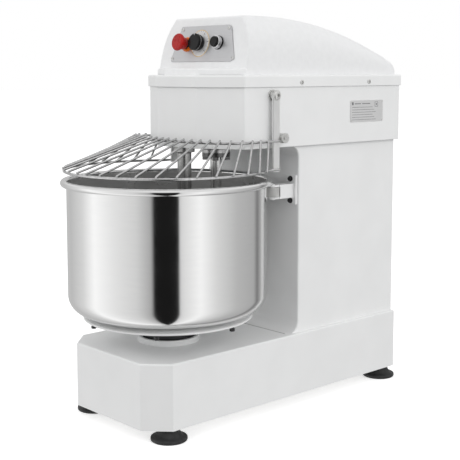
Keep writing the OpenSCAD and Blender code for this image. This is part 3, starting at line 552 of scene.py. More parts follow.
def cross_recess(bm, matrix, arm, half_slot, head_r, top, depth):
    """Domed screw head with a cross-shaped recess."""
    count = 32

    def ring(radius, height):
        return polar_ring(bm, matrix, radius, height, count, 0.5)

    def star(height, grow=0.0):
        def edge(t):
            near = min(abs(math.sin(t)), abs(math.cos(t)))
            return min(arm + grow, (half_slot + grow) / max(near, 1e-3))

        return ring(edge, height)

    join(bm, [ring(head_r, 0), ring(head_r, top * 0.35), ring(head_r * 0.9, top * 0.72),
              ring(head_r * 0.68, top * 0.95), star(top, 0.12), star(top - depth)])


def keep(node, material, edge_mm):
    """Gives a CAD node its finish and softly rounded edges."""
    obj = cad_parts[node]
    obj.data.materials.clear()
    obj.data.materials.append(material)
    weld = obj.modifiers.new("Join", "WELD")
    weld.merge_threshold = 1e-5
    bevel = obj.modifiers.new("Edges", "BEVEL")
    bevel.width = edge_mm * MM
    bevel.segments = 2
    bevel.limit_method = "ANGLE"
    bevel.angle_limit = KEPT_EDGE_ANGLE
    bevel.use_clamp_overlap = True
    even = obj.modifiers.new("Even shading", "WEIGHTED_NORMAL")
    even.keep_sharp = True


# ---------- base ----------


def make_base():
    bm = bmesh.new()
    edge = 4
    rings = [level(base_outline(SHEET), BASE_TOP - SHEET), level(base_outline(SHEET), BASE_BOTTOM),
             level(base_outline(0), BASE_BOTTOM)]
    rings += [level(base_outline(inset), BASE_TOP - drop) for inset, drop in edge_curve(edge)]
    made = stack(bm, rings)
    hole_low = loop_verts(bm, circle_ring(0, BOWL_Y, BASE_TOP - SHEET, COLLAR_HOLE))
    hole_high = loop_verts(bm, circle_ring(0, BOWL_Y, BASE_TOP, COLLAR_HOLE))
    bridge(bm, hole_low, hole_high)
    fill(bm, made[0], hole_low)
    fill(bm, made[-1], hole_high)
    piece("base_sheet", bm, WHITE, "machine", ["base_housing"])


def make_collar():
    bm = bmesh.new()
    profile = [(COLLAR_HOLE, BASE_TOP), (COLLAR_R, BASE_TOP), (COLLAR_R, COLLAR_TOP), (COLLAR_HOLE, COLLAR_TOP)]
    lathe(bm, eased(profile, 1.5), (0, BOWL_Y, 0))
    piece("collar_ring", bm, WHITE, "machine", ["bowl_collar"])


def make_feet():
    low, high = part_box("machine_feet")
    out_x = high.x / MM - FOOT_R
    ys = (low.y - FRONT_Y) / MM + FOOT_R, (high.y - FRONT_Y) / MM - FOOT_R
    bm = bmesh.new()
    profile = [(6, BASE_BOTTOM), (21, BASE_BOTTOM), (22.5, 24), (27, 14), (31, 10.8), (FOOT_R, 8), (FOOT_R, 2),
               (38, 0), (12, 0), (12, 10), (6, 10)]
    for x in (-out_x, out_x):
        for y in ys:
            lathe(bm, eased(profile, 1.6), (x, y, 0), 64)
    piece("rubber_feet", bm, RUBBER, "machine", ["machine_feet"], 50)


# ---------- column ----------


def column_front_at(z):
    """Y of the column's front wall, which sweeps forward at its foot and under the head."""
    for middle, sign in ((BASE_TOP + THROAT_R, -1), (HEAD_BOTTOM - THROAT_R, 1)):
        drop = (z - middle) * sign
        if drop > 0:
            return COLUMN_FRONT - THROAT_R + math.sqrt(max(THROAT_R ** 2 - drop ** 2, 0))
    return COLUMN_FRONT


def column_section(z):
    """Outline of the column's sheet at a height, open at the rear between two folded edges."""
    front = column_front_at(z)
    half, rear = COLUMN_HALF_W, BASE_L - SHEET
    corners = [(-REAR_OPENING, rear), (-half, rear), (-half, front), (half, front), (half, rear),
               (REAR_OPENING, rear), (REAR_OPENING, rear - SHEET), (half - SHEET, rear - SHEET),
               (half - SHEET, front + SHEET), (SHEET - half, front + SHEET), (SHEET - half, rear - SHEET),
               (-REAR_OPENING, rear - SHEET)]
    radii = [0.2, 3, 4, 4, 3, 0.2, 0.2, 1, 2, 2, 1, 0.2]
    return level(rounded(corners, radii, 4), z)


def make_column():
    """The column's sheet, and a thin dark grey strip across the base where it stands: painted shade for the
    crease at the column's foot.
    """
    sweep = [THROAT_R * (1 - math.cos(math.radians(a))) for a in range(0, 91, 9)]
    heights = [BASE_TOP + h for h in sweep] + [HEAD_BOTTOM - h for h in reversed(sweep)]
    bm = bmesh.new()
    cap(bm, stack(bm, [column_section(z) for z in heights]))
    piece("column_sheet", bm, WHITE, "machine", ["column_shell", "column_front_sheet"], 30)
    bm = bmesh.new()
    # Thin dark grey strip on the base just ahead of the column's sheet: painted shade along that crease
    shade_line_y, half_l, half_w = COLUMN_FRONT - THROAT_R - 7, 148, 0.7
    strip = rounded(rectangle(-half_l, half_l, shade_line_y - half_w, shade_line_y + half_w), 0.6, 3)
    block(bm, strip, BASE_TOP - 0.3, BASE_TOP + 0.3)
    piece("column_foot_shade_line", bm, SEAM_SHADE_GREY, "machine")


# ---------- head ----------


def make_skirt():
    bm = bmesh.new()
    rings = [level(head_outline(SHEET), SKIRT_TOP), level(head_outline(SHEET), HEAD_BOTTOM + 0.6),
             level(head_outline(SHEET * 0.6), HEAD_BOTTOM), level(head_outline(0.8), HEAD_BOTTOM),
             level(head_outline(0), HEAD_BOTTOM + 0.8), level(head_outline(0), SKIRT_TOP)]
    made = stack(bm, rings)
    bridge(bm, made[-1], made[0])
    piece("head_sheet", bm, WHITE, "machine", ["head_skirt"])


def make_rim():
    bm = bmesh.new()
    inner, shelf = SHEET - RIM_OUT, 16
    rings = [level(head_outline(shelf), COVER_FOOT - SHEET), level(head_outline(inner), COVER_FOOT - SHEET),
             level(head_outline(inner), RIM_BOTTOM + 0.5), level(head_outline(inner - 0.6), RIM_BOTTOM),
             level(head_outline(0.6 - RIM_OUT), RIM_BOTTOM), level(head_outline(-RIM_OUT), RIM_BOTTOM + 0.6)]
    rings += [level(head_outline(inset - RIM_OUT), COVER_FOOT - drop) for inset, drop in edge_curve(4, 5)]
    rings += [level(head_outline(shelf), COVER_FOOT)]
    made = stack(bm, rings)
    bridge(bm, made[-1], made[0])
    piece("cover_rim_sheet", bm, WHITE, "machine", ["cover_rim"])


def cover_half_w(t):
    """Half width at a share of the height."""
    return COVER_HALF_W - COVER_SIDE_LEAN * t ** 3.2


def cover_ridge(y):
    """Height of the ridge, level at the front and falling faster and faster to the rear."""
    return COVER_TOP - RIDGE_FALL * (max(y - RIDGE_FLAT, 0) / (RIDGE_REAR - RIDGE_FLAT)) ** 2.07


def cover_section(s, trim, forward):
    """One hoop of the cover, from foot to foot, trimmed in by a length where an end is rounded."""
    steps = 26
    front = face_y(COVER_TOP)
    ridge = cover_ridge(front + s * (RIDGE_REAR - front)) - trim
    half = [math.sin(math.pi / 2 * i / steps) for i in range(steps + 1)]
    hoop = [(1, t) for t in half] + [(-1, t) for t in reversed(half)]
    out = []
    for sign, t in hoop:
        y0 = face_y(COVER_FOOT + t * (COVER_TOP - COVER_FOOT))
        y1 = COVER_REAR - COVER_REAR_LEAN * t ** 2.5
        out.append((sign * (cover_half_w(t) - trim), y0 + s * (y1 - y0) + forward,
                    COVER_FOOT + t * (ridge - COVER_FOOT)))
    return out


def step_outline(inset):
    """Outline of the step in front of the control face."""
    plan = slanted_plan(COVER_HALF_W, STEP_FRONT, STEP_REAR, *STEP_CORNER, inset)
    return rounded(plan, max(STEP_CORNER_R - inset, 1))


def make_cover():
    """The hooped shell of the cover, and the step at its front."""
    edge, hoops = 7, 30
    bm = bmesh.new()
    rings = [cover_section(0, inset, drop) for drop, inset in edge_curve(edge, 6)]
    rings += [cover_section(i / hoops, 0, 0) for i in range(1, hoops)]
    rings += [cover_section(1, inset, -drop) for inset, drop in edge_curve(edge, 6)]
    made = [loop_verts(bm, ring) for ring in rings]
    for a, b in zip(made, made[1:]):
        bridge(bm, a, b, closed=False)
    cap(bm, made)
    foot = [ring[0] for ring in made] + [ring[-1] for ring in reversed(made)]
    fill(bm, foot)
    step = [level(step_outline(inset), COVER_FOOT + STEP_H - drop) for inset, drop in edge_curve(6, 5)]
    foot_ring = level(step_outline(0), COVER_FOOT)
    cap(bm, stack(bm, [foot_ring] + step))
    piece("moulded_cover", bm, COVER, "machine", ["top_cover"], 40)


def make_cover_screws():
    bm = bmesh.new()
    for y in COVER_SCREW_YS:
        for side in (-1, 1):
            head = Matrix.Translation((side * (HEAD_HALF_W + RIM_OUT), y, RIM_BOTTOM + 10)) @ sideways(side)
            cross_recess(bm, head, arm=3.2, half_slot=0.8, head_r=5.5, top=2.5, depth=1.3)
    piece("cover_screw_heads", bm, ZINC, "machine", ["cover_screws"])


# ---------- controls ----------


def plate_outline(half_low, half_top, half_h):
    corners = [(-half_low, -half_h), (half_low, -half_h), (half_top, half_h), (-half_top, half_h)]
    return rounded(corners, [5, 12, 12, 5], 6)


def make_control_plate():
    """Brushed plate with rounded corners and an eased front edge."""
    edge = plate_outline(PLATE_HALF_LOW, PLATE_HALF_TOP, PLATE_HALF_H)
    face = plate_outline(PLATE_HALF_LOW - 0.6, PLATE_HALF_TOP - 0.4, PLATE_HALF_H - 0.6)
    bm = bmesh.new()
    cap(bm, stack(bm, [level(edge, 0), level(edge, PLATE_T - 0.5), level(face, PLATE_T)]))
    bmesh.ops.transform(bm, matrix=on_panel(0, PLATE_MID_Z), verts=bm.verts)
    piece("control_face_plate", bm, PANEL, "machine", ["control_plate"])


def flat_ring(bm, matrix, r_out, r_in, z0, z1, count=72):
    profile = [(r_in, z0), (r_out, z0), (r_out, z1), (r_in, z1)]
    lathe(bm, profile, matrix.translation, count, matrix)


def dial_turn(i):
    return math.radians(DIAL_START - i * DIAL_STEP)


def make_dial():
    """Printed dial round the timer: a ring, marks and generic numbers."""
    face = on_panel(*TIMER) @ Matrix.Translation((0, 0, PLATE_T))
    bm = bmesh.new()
    flat_ring(bm, face, DIAL_R, 10, 0, 0.15)
    piece("dial_field", bm, DIAL, "machine")
    bm = bmesh.new()
    flat_ring(bm, face, DIAL_R + 1.6, DIAL_R, 0, 0.25)
    piece("dial_ring", bm, GOLD_INK, "machine")
    bm = bmesh.new()
    mark_end = DIAL_R - 0.4
    for i in range(DIAL_MARKS):
        spin = face @ Matrix.Rotation(dial_turn(i), 4, "Z")
        reach = 3.2 if i % 2 == 0 else 1.8
        block(bm, rectangle(mark_end - reach, mark_end, -0.3, 0.3), 0.1, 0.3, spin)
    piece("dial_marks", bm, INK, "machine")
    for i in range(0, DIAL_MARKS, 4):
        turn = dial_turn(i)
        text = bpy.data.curves.new(f"number_{i}", "FONT")
        text.body = str(i * 3 // 2)
        text.size = DIAL_NUMBER_SIZE * MM
        text.extrude = 0.1 * MM
        text.align_x = "CENTER"
        text.align_y = "CENTER"
        text.materials.append(INK)
        obj = bpy.data.objects.new(f"dial_number_{i}", text)
        bpy.context.scene.collection.objects.link(obj)
        spot = face @ Matrix.Translation((DIAL_NUMBER_R * math.cos(turn), DIAL_NUMBER_R * math.sin(turn), 0.22))
        obj.matrix_world = (Matrix.Translation((0, FRONT_Y, 0)) @ Matrix.Scale(MM, 4) @ spot
                            @ Matrix.Scale(1 / MM, 4))
        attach(obj, "machine")


def make_plate_screws():
    bm = bmesh.new()
    low_x, top_x, v = PLATE_HALF_LOW - 7, PLATE_HALF_TOP - 6, PLATE_HALF_H - 8
    for spot in ((low_x, -v), (top_x, v), (-top_x, v), (-low_x, -v)):
        head = on_panel(0, PLATE_MID_Z) @ Matrix.Translation((*spot, PLATE_T))
        cross_recess(bm, head, arm=2.4, half_slot=0.6, head_r=4, top=1.8, depth=1.0)
    piece("plate_screw_heads", bm, ZINC, "machine", ["control_plate_screws"])


def make_estop():
    """Orange collar and red mushroom head, as (radius, height over the control face)."""
    face = on_panel(*ESTOP)
    bm = bmesh.new()
    profile = [(11, 1.5), (17, 1.5), (17, 4.8), (15.6, 6.5), (11, 6.5)]
    lathe(bm, eased(profile, 0.8), face.translation, 72, face)
    piece("orange_collar", bm, ORANGE, "machine", ["estop_collar"])
    bm = bmesh.new()
    profile = [(6.05, 12.2), (14, 12.2), (15.6, 24.5), (18, 26), (20.2, 28.5), (20.2, 32.3), (18.6, 34.6),
               (15.6, 35.8), (14.9, 35.2), (8, 35.6), (0, 35.7), (0, 26.2), (6.05, 26.2)]
    lathe(bm, eased(profile, 1.2), face.translation, 96, face)
    piece("mushroom_head", bm, RED, "estop_mushroom", ["estop_head"], 50)


def make_timer():
    """Fluted knob: a plain front disc over a ribbed skirt, with a pointer, and a thin bright metal ring round
    it that is a painted highlight where the groove between disc and skirt catches light.
    """
    face = on_panel(*TIMER)

    def ring(bm, radius, height, flute):
        def edge(t):
            return radius - flute * (0.5 + 0.5 * math.cos(t * KNOB_FLUTES))

        return polar_ring(bm, face, edge, height, 144)

    levels = [(16.2, 3, 0), (16.6, 3.4, 0), (17.8, 6, 0.5), (19.3, 9, 0.7), (KNOB_R, 12, 0.7),
              (KNOB_R, 17.2, 0.7), (KNOB_R, 18.4, 0), (KNOB_R, 20.8, 0), (19.1, 21.9, 0), (18.3, 22.5, 0),
              (15.4, 22.5, 0), (14.8, 21.9, 0), (2, 21.9, 0)]
    bm = bmesh.new()
    join(bm, [ring(bm, *row) for row in levels])
    profile = [(0, -25), (3, -25), (3, 3), (0, 3)]
    lathe(bm, profile, face.translation, 24, face, closed=False)
    piece("fluted_knob", bm, BLACK, "timer", ["timer_knob"], 40)
    bm = bmesh.new()
    block(bm, rectangle(-0.7, 0.7, 14.9, 19), 21.9, 22.8, face)
    piece("knob_pointer", bm, DIAL, "timer")
    # Bright metal ring: painted highlight of the groove between the knob's front disc and its skirt
    bm = bmesh.new()
    flat_ring(bm, face, KNOB_R + 0.3, KNOB_R - 0.5, 15.6, 16.5, 96)
    piece("knob_highlight_ring", bm, CHROME, "timer")


def make_start():
    """Bright bezel, black button with its shaft, and a seal, as (radius, height over the control face)."""
    face = on_panel(*START)
    bm = bmesh.new()
    profile = [(12.5, -12), (13.7, -12), (13.7, 3), (15, 4), (14.9, 5), (14.2, 12.2), (13.6, 13),
               (12.5, 13)]
    lathe(bm, eased(profile, 0.5), face.translation, 72, face)
    piece("bright_bezel", bm, CHROME, "machine", ["start_bezel"], 30)
    bm = bmesh.new()
    profile = [(0, -7), (12.2, -7), (12.2, 16.4), (11.4, 18), (10.5, 18.5), (9.9, 18.1), (0, 17.8)]
    lathe(bm, eased(profile, 0.5), face.translation, 72, face, closed=False)
    lathe(bm, [(0, -26), (5, -26), (5, -6), (0, -6)], face.translation, 24, face, closed=False)
    piece("black_button", bm, BLACK, "start", ["start_button"], 40)
    bm = bmesh.new()
    profile = [(13.7, 1.5), (16, 1.5), (16, 3.6), (15.2, 4.5), (13.7, 4.5)]
    lathe(bm, eased(profile, 0.4), face.translation, 72, face)
    piece("button_seal", bm, BLACK, "machine")


# Plain bars on the rating plate: a heading, ruled lines and a box, as left, right, low and high edges
RATING_MARKS = [(-55, -49, 15, 22), (-45, -22, 17, 19), (-17, 12, 17, 19), (30, 42, 10, 11), (30, 42, 21, 22),
                (30, 31, 11, 21), (41, 42, 11, 21), (34, 38, 14, 18)]
RATING_MARKS += [(-54, 22 + 6 * (k % 3), 9 - 6 * k, 9.9 - 6 * k) for k in range(6)]


def make_rating_plate():
    """Plate with plain ruled bars in place of any text, and four rivets."""
    x, long, high = HEAD_HALF_W, LABEL_HALF_L, LABEL_HALF_H
    bm = bmesh.new()
    outline = rounded(rectangle(-long, long, -high, high), 2.5)
    to_side = Matrix(((0, 0, 1, 0), (1, 0, 0, 0), (0, 1, 0, 0), (0, 0, 0, 1)))
    spot = Matrix.Translation((x, LABEL_Y, LABEL_Z)) @ to_side
    inner = rounded(rectangle(0.3 - long, long - 0.3, 0.3 - high, high - 0.3), 2.5)
    cap(bm, stack(bm, [level(outline, 0), level(outline, 0.5), level(inner, 0.8)]))
    bmesh.ops.transform(bm, matrix=spot, verts=bm.verts)
    piece("rating_plate_sheet", bm, LABEL, "machine", ["rating_plate"])
    bm = bmesh.new()
    for u0, u1, v0, v1 in RATING_MARKS:
        block(bm, rectangle(u0, u1, v0, v1), 0.7, 0.95, spot)
    piece("rating_plate_rules", bm, GREY_INK, "machine")
    bm = bmesh.new()
    for y in (LABEL_Y - RIVET_Y, LABEL_Y + RIVET_Y):
        for z in (LABEL_Z - RIVET_Z, LABEL_Z + RIVET_Z):
            lathe(bm, [(0, 0), (1.8, 0), (1.7, 0.5), (1.2, 0.9), (0, 1)], (x + 0.8, y, z), 20, sideways(),
                  closed=False)
    piece("rating_plate_rivet_heads", bm, ZINC, "machine", ["rating_plate_rivets"])


# ---------- bowl ----------


def make_bowl():
    """Wall, rounded bend and curled rim turned in one, with a satin finish on the faces inside."""
    wall_in = BOWL_R - SHEET
    bend_x, bend_z = BOWL_R - BOWL_BEND, BOWL_UNDER + BOWL_BEND
    curl = (BOWL_RIM_R - wall_in) / 2
    curl_x = wall_in + curl
    outside = [(0, BOWL_UNDER)]
    outside += [(bend_x + BOWL_BEND * math.sin(a), bend_z - BOWL_BEND * math.cos(a))
                for a in (math.radians(k * 4.5) for k in range(21))]
    outside += [(BOWL_R, z) for z in (*BOWL_WALL_ZS, BOWL_RIM_Z)]
    under = [(curl_x + (curl - SHEET) * math.cos(a), BOWL_RIM_Z + (curl - SHEET) * math.sin(a))
             for a in (math.radians(180 - k * 12) for k in range(26))]
    over = [(curl_x + curl * math.cos(a), BOWL_RIM_Z + curl * math.sin(a))
            for a in (math.radians(-120 + k * 12) for k in range(26))]
    inner_bend = BOWL_BEND - SHEET
    inside = [(wall_in, z) for z in reversed(BOWL_WALL_ZS)]
    inside += [(bend_x + inner_bend * math.sin(a), bend_z - inner_bend * math.cos(a))
               for a in (math.radians(90 - k * 4.5) for k in range(21))]
    inside += [(0, BOWL_UNDER + SHEET)]
    bm = bmesh.new()
    lathe(bm, outside + under[1:] + over + inside, (0, BOWL_Y, 0), 192, closed=False)
    bowl = piece("stainless_bowl", bm, BOWL, "bowl", ["bowl_shell"], 50)
    bowl.data.materials.append(BOWL_INSIDE)
    axis = Vector((0, FRONT_Y + BOWL_Y * MM, 0))
    for face in bowl.data.polygons:
        out = (face.center - axis) * Vector((1, 1, 0))
        faces_in = face.normal.dot(out) < 0 or face.normal.z > 0.5
        within = out.length < (BOWL_R - SHEET / 2) * MM and face.center.z < BOWL_RIM_Z * MM
        face.material_index = int(faces_in and within)


def make_dish():
    """Dish under the bowl, whose top slopes down to a thin lip."""
    top, low, r, hub_r = BOWL_UNDER, BOWL_UNDER - DISH_T, DISH_R, 25
    bm = bmesh.new()
    profile = [(hub_r, low), (r - 10, low), (r, low + 3.5), (r, low + 6), (r - 3, low + 7.5),
               (DISH_SHELF_R, top), (hub_r, top)]
    lathe(bm, eased(profile, 1.4), (0, BOWL_Y, 0), 160)
    piece("painted_dish", bm, DISH, "bowl", ["bowl_dish"])


# ---------- spiral and breaker bar ----------


def ease(t):
    """Slow start and slow end between 0 and 1."""
    return t * t * (3 - 2 * t)


def share(s, a, b):
    """How far s is from a to b, between 0 and 1."""
    return min(max((s - a) / (b - a), 0), 1)


def hook_point(s):
    """Centre line of the hook: straight down, swung out, around, and drawn in at the foot."""
    turn = math.radians(HOOK_TURN * share(s, 0.2, 1) ** 1.15)
    reach = HOOK_PATH_R * ease(share(s, 0.2, 0.42)) - HOOK_DRAW_IN * ease(share(s, 0.76, 1))
    height = HOOK_TOP - (HOOK_TOP - HOOK_LOW) * (1.25 * s - 0.25 * s ** 5)
    return reach * math.cos(turn), SPIRAL_Y + reach * math.sin(turn), height


def make_hook():
    bm = bmesh.new()
    steps = 220
    tube(bm, [hook_point(i / steps) for i in range(steps + 1)], HOOK_R, 28)
    piece("spiral_bar", bm, HOOK, "spiral", ["spiral_hook"], 60)


def make_breaker():
    bm = bmesh.new()
    profile = [(0, 261.5), (12, 261.5), (16, 266), (16, 601), (17.5, 603), (24, 603), (24, 615), (0, 615)]
    lathe(bm, eased(profile, 1.2), (0, BREAKER_Y, 0), 64, closed=False)
    piece("breaker_round_bar", bm, ROUND_BAR, "machine", ["breaker_bar"], 40)


# ---------- guard ----------


def inner_angle(s):
    """Turn of the inner ring from its middle, by the length of wire."""
    if s < RING_FRONT_WIRE:
        return s / RING_FRONT_R
    return min(math.pi / 2, RING_FRONT_ARC + (s - RING_FRONT_WIRE) / RING_CORNER_R)


def inner_point(s):
    """A place on the inner ring, by the length of wire from its middle."""
    a = inner_angle(s)
    if s < RING_FRONT_WIRE:
        return Vector((RING_FRONT_R * math.sin(a), RING_FRONT_Y + RING_FRONT_R * (1 - math.cos(a)),
                       GUARD_INNER_Z))
    if s < RING_FRONT_WIRE + RING_CORNER_WIRE:
        return Vector((RING_X - RING_CORNER_R * (1 - math.sin(a)), RING_SIDE_Y - RING_CORNER_R * math.cos(a),
                       GUARD_INNER_Z))
    return Vector((RING_X, RING_SIDE_Y + s - RING_FRONT_WIRE - RING_CORNER_WIRE, GUARD_INNER_Z))


def wire_step(ring_dir, spoke_dir):
    """From a ring wire's middle to that of a spoke that crosses it on the outside and touches it."""
    n = ring_dir.cross(spoke_dir).normalized()
    return (RING_R + SPOKE_R - 0.05) * math.copysign(1, n.z) * n


def make_guard_rings():
    bm = bmesh.new()
    total = RING_FRONT_WIRE + RING_CORNER_WIRE + RING_END_Y - RING_SIDE_Y
    half = [inner_point(total * i / 90) for i in range(91)]
    left = [Vector((-p.x, p.y, p.z)) for p in reversed(half[1:])]
    tube(bm, left + half, RING_R, 14)
    end = math.acos(RING_X / GUARD_R)
    arc = [(GUARD_R * math.cos(a), BOWL_Y + GUARD_R * math.sin(a), GUARD_OUTER_Z)
           for a in (end - (math.pi + 2 * end) * i / 150 for i in range(151))]
    path = [(RING_X, RING_END_Y, GUARD_OUTER_Z)] + arc + [(-RING_X, RING_END_Y, GUARD_OUTER_Z)]
    tube(bm, path, RING_R, 14)
    piece("guard_ring_wires", bm, WIRE, "guard", ["guard_rings"], 60)


def bead(bm, centre, radius):
    """Small weld bead: a squashed ball."""
    spot = Matrix.Translation(centre) @ Matrix.Diagonal((1, 1, 0.7, 1))
    bmesh.ops.create_icosphere(bm, subdivisions=2, radius=radius, matrix=spot)


def make_guard_spokes():
    """Spokes that lie on the outside of both rings, mirrored, with a bead at each place they touch."""
    bm = bmesh.new()
    beads = bmesh.new()
    for i in range(SIDE_SPOKES):
        a = -math.pi / 2 + math.radians(SPOKE_OUTER_FIRST + SPOKE_OUTER_STEP * i)
        wire_length = SPOKE_FIRST + SPOKE_STEP * i
        ai = inner_angle(wire_length)
        inner = inner_point(wire_length)
        outer = Vector((GUARD_R * math.cos(a), BOWL_Y + GUARD_R * math.sin(a), GUARD_OUTER_Z))
        along = (outer - inner).normalized()
        to_top = wire_step(Vector((math.cos(ai), math.sin(ai), 0)), along)
        to_low = wire_step(Vector((-math.sin(a), math.cos(a), 0)), along)
        first, last = inner + to_top - 4 * along, outer + to_low + 2.5 * along
        for side in (-1, 1):
            flip = Matrix.Diagonal((side, 1, 1))
            tube(bm, [flip @ first.lerp(last, k) for k in (0, 0.02, 0.5, 0.98, 1)], SPOKE_R, 12)
            for spot in (inner + BEAD_LIFT * to_top, outer + BEAD_LIFT * to_low):
                bead(beads, flip @ spot, BEAD_R)
    piece("guard_spoke_wires", bm, WIRE, "guard", ["guard_spokes"], 60)
    piece("guard_weld_beads", beads, WIRE, "guard", (), 60)


def make_guard_arms():
    bm = bmesh.new()
    half, low, edge = ARM_HALF_W, GUARD_OUTER_Z - 5, 0.6
    outline = [(ARM_Y - half, low), (ARM_Y + half, low)]
    outline += [(ARM_Y + half * math.cos(a), PIVOT_Z + half * math.sin(a))
                for a in (math.radians(k * 15) for k in range(13))]
    for side in (-1, 1):
        rings = []
        for x, inset in ((ARM_IN, edge), (ARM_IN + edge, 0), (ARM_OUT - edge, 0), (ARM_OUT, edge)):
            ring = []
            for y, z in outline:
                dy = math.copysign(min(inset, abs(y - ARM_Y)), ARM_Y - y)
                dz = inset if z == low else (-inset * (z - PIVOT_Z) / half if z > PIVOT_Z else 0)
                ring.append((side * x, y + dy, z + dz))
            rings.append(ring)
        cap(bm, stack(bm, rings))
    piece("guard_arm_bars", bm, BAR, "guard", ["guard_arms"])


def make_guard_pivots():
    """Shoulder screws with washers, domed heads and hexagon sockets, and the switch cam on one of them."""
    count = 48
    bm = bmesh.new()
    for side in (-1, 1):
        out = sideways(side)
        lathe(bm, [(0, 137.5), (6, 137.5), (6, 171.5), (10.5, 171.5), (10.5, 177.5), (0, 177.5)],
              (0, ARM_Y, PIVOT_Z), count, out, closed=False)
        head = Matrix.Translation((side * ARM_OUT, ARM_Y, PIVOT_Z)) @ out
        rings = [polar_ring(bm, head, radius, height, count)
                 for radius, height in ((11.5, 0), (11.5, 1), (9.8, 1.2), (9.6, 2.6), (8.4, 4.2), (6.4, 5))]
        rings += [polar_ring(bm, head, lambda t: 4 / math.cos((t % (math.pi / 3)) - math.pi / 6), height, count)
                  for height in (5, 2)]
        join(bm, rings)
    cam = Matrix.Translation((139.5, ARM_Y, PIVOT_Z)) @ sideways()
    cam_r, cam_flat = 16, 9
    outline = [(cam_r * math.cos(t), cam_r * math.sin(t))
               for t in (math.radians(34 + k * 8.115) for k in range(37))]
    block(bm, [(x, min(y, cam_flat)) for x, y in outline], 0, 5, cam)
    piece("guard_pivot_screws", bm, ZINC, "guard", ["guard_pivots"], 40)


# ---------- the parts of the CAD model that keep their shape ----------

# Finish and edge rounding in millimetres of each
KEPT = {
    "floor_pan": (ZINC, 0.5), "foot_bolts": (ZINC, 0.5), "base_frame": (PRIMER, 0.8),
    "column_frame": (PRIMER, 0.8), "rear_panel": (WHITE, 0.4), "rear_panel_screws": (ZINC, 0.4),
    "cable_gland": (BLACK, 0.5),
    "electrical_box": (GREY_PAINT, 0.8), "electrical_box_lid": (GREY_PAINT, 0.8), "contactors": (IVORY, 0.8),
    "head_floor_plate": (PRIMER, 0.8), "control_blocks": (BLACK, 0.6), "estop_stem": (GREY_PLASTIC, 0.4),
    "motor_body": (MOTOR, 0.8), "motor_plate": (PRIMER, 0.8), "motor_rotor": (STEEL, 0.5),
    "countershaft": (STEEL, 0.5), "layshaft": (STEEL, 0.5), "shaft_housings": (CAST, 1.0),
    "shaft_bearings": (GROUND, 0.4), "spindle_housing": (CAST, 1.0), "motor_belts": (BELT, 0.8),
    "spiral_belts": (BELT, 0.8), "base_belts": (BELT, 0.8), "bowl_housing": (CAST, 1.0),
    "dish_studs": (BLACK_STEEL, 0.6), "bowl_spindle": (BLACK_STEEL, 0.8), "spindle": (STEEL, 0.6),
    # hook_bolts takes a dark steel colour that is painted shade under the head
    "hook_bolts": (DARK_STEEL_PAINTED_SHADE, 0.6), "roller_brackets": (WHITE, 0.8), "left_roller": (NYLON, 0.8),
    "right_roller": (NYLON, 0.8), "bracket_screws": (BLACK_STEEL, 0.4), "guard_stops": (ZINC, 0.8),
}


# ---------- studio ----------

# Camera in metres and degrees, lens and sensor in millimetres
CAMERA_AT = Vector((1.8034, -1.6422, 0.7869))
CAMERA_AZIMUTH = 47.71
CAMERA_DOWN = 6.28
CAMERA_ROLL = -0.06
LENS = 80.33
SENSOR = 36
SHIFT_Y = -0.1002
FLOOR_R = 40
MIDDLE = (0, 0, 0.45)


def make_camera():
    data = bpy.data.cameras.new("Camera")
    data.lens = LENS
    data.sensor_width = SENSOR
    data.shift_y = SHIFT_Y
    data.clip_end = 200
    camera = bpy.data.objects.new("Camera", data)
    bpy.context.scene.collection.objects.link(camera)
    a, e = math.radians(CAMERA_AZIMUTH), math.radians(CAMERA_DOWN)
    forward = Vector((-math.sin(a) * math.cos(e), math.cos(a) * math.cos(e), -math.sin(e)))
    look = forward.to_track_quat("-Z", "Y").to_matrix().to_4x4()
    roll = Matrix.Rotation(math.radians(CAMERA_ROLL), 4, "Z")
    camera.matrix_world = Matrix.Translation(CAMERA_AT) @ look @ roll
    bpy.context.scene.camera = camera


def area_light(name, at, aim, size, power):
    """Soft white panel that adds no reflection of itself."""
    data = bpy.data.lights.new(name, "AREA")
    data.shape = "RECTANGLE"
    data.size, data.size_y = size
    data.energy = power
    light = bpy.data.objects.new(name, data)
    light.location = at
    light.rotation_euler = (Vector(aim) - Vector(at)).to_track_quat("-Z", "Y").to_euler()
    light.visible_glossy = False
    bpy.context.scene.collection.objects.link(light)


# Brightness of the studio round the object, by compass direction in degrees from +X towards +Y
STUDIO = [(-180, 0.62), (-150, 0.85), (-129, 1.25), (-100, 1.0), (-74, 0.82), (-57, 0.5), (-54, 0.012),
          (-26.8, 0.012), (-25.6, 0.85), (-2, 1.2), (18, 0.86), (46, 0.6), (76, 0.5), (84, 0.22),
          (94, 0.5), (180, 0.62)]

# The soft light that paint takes, by the same direction: less from where the camera stands
SOFT = [(-180, 0.6), (-112, 1.0), (-84, 0.8), (-45, 0.1), (-8, 0.85), (20, 1.0), (90, 0.65), (180, 0.6)]
SOFT_POWER = 1.5


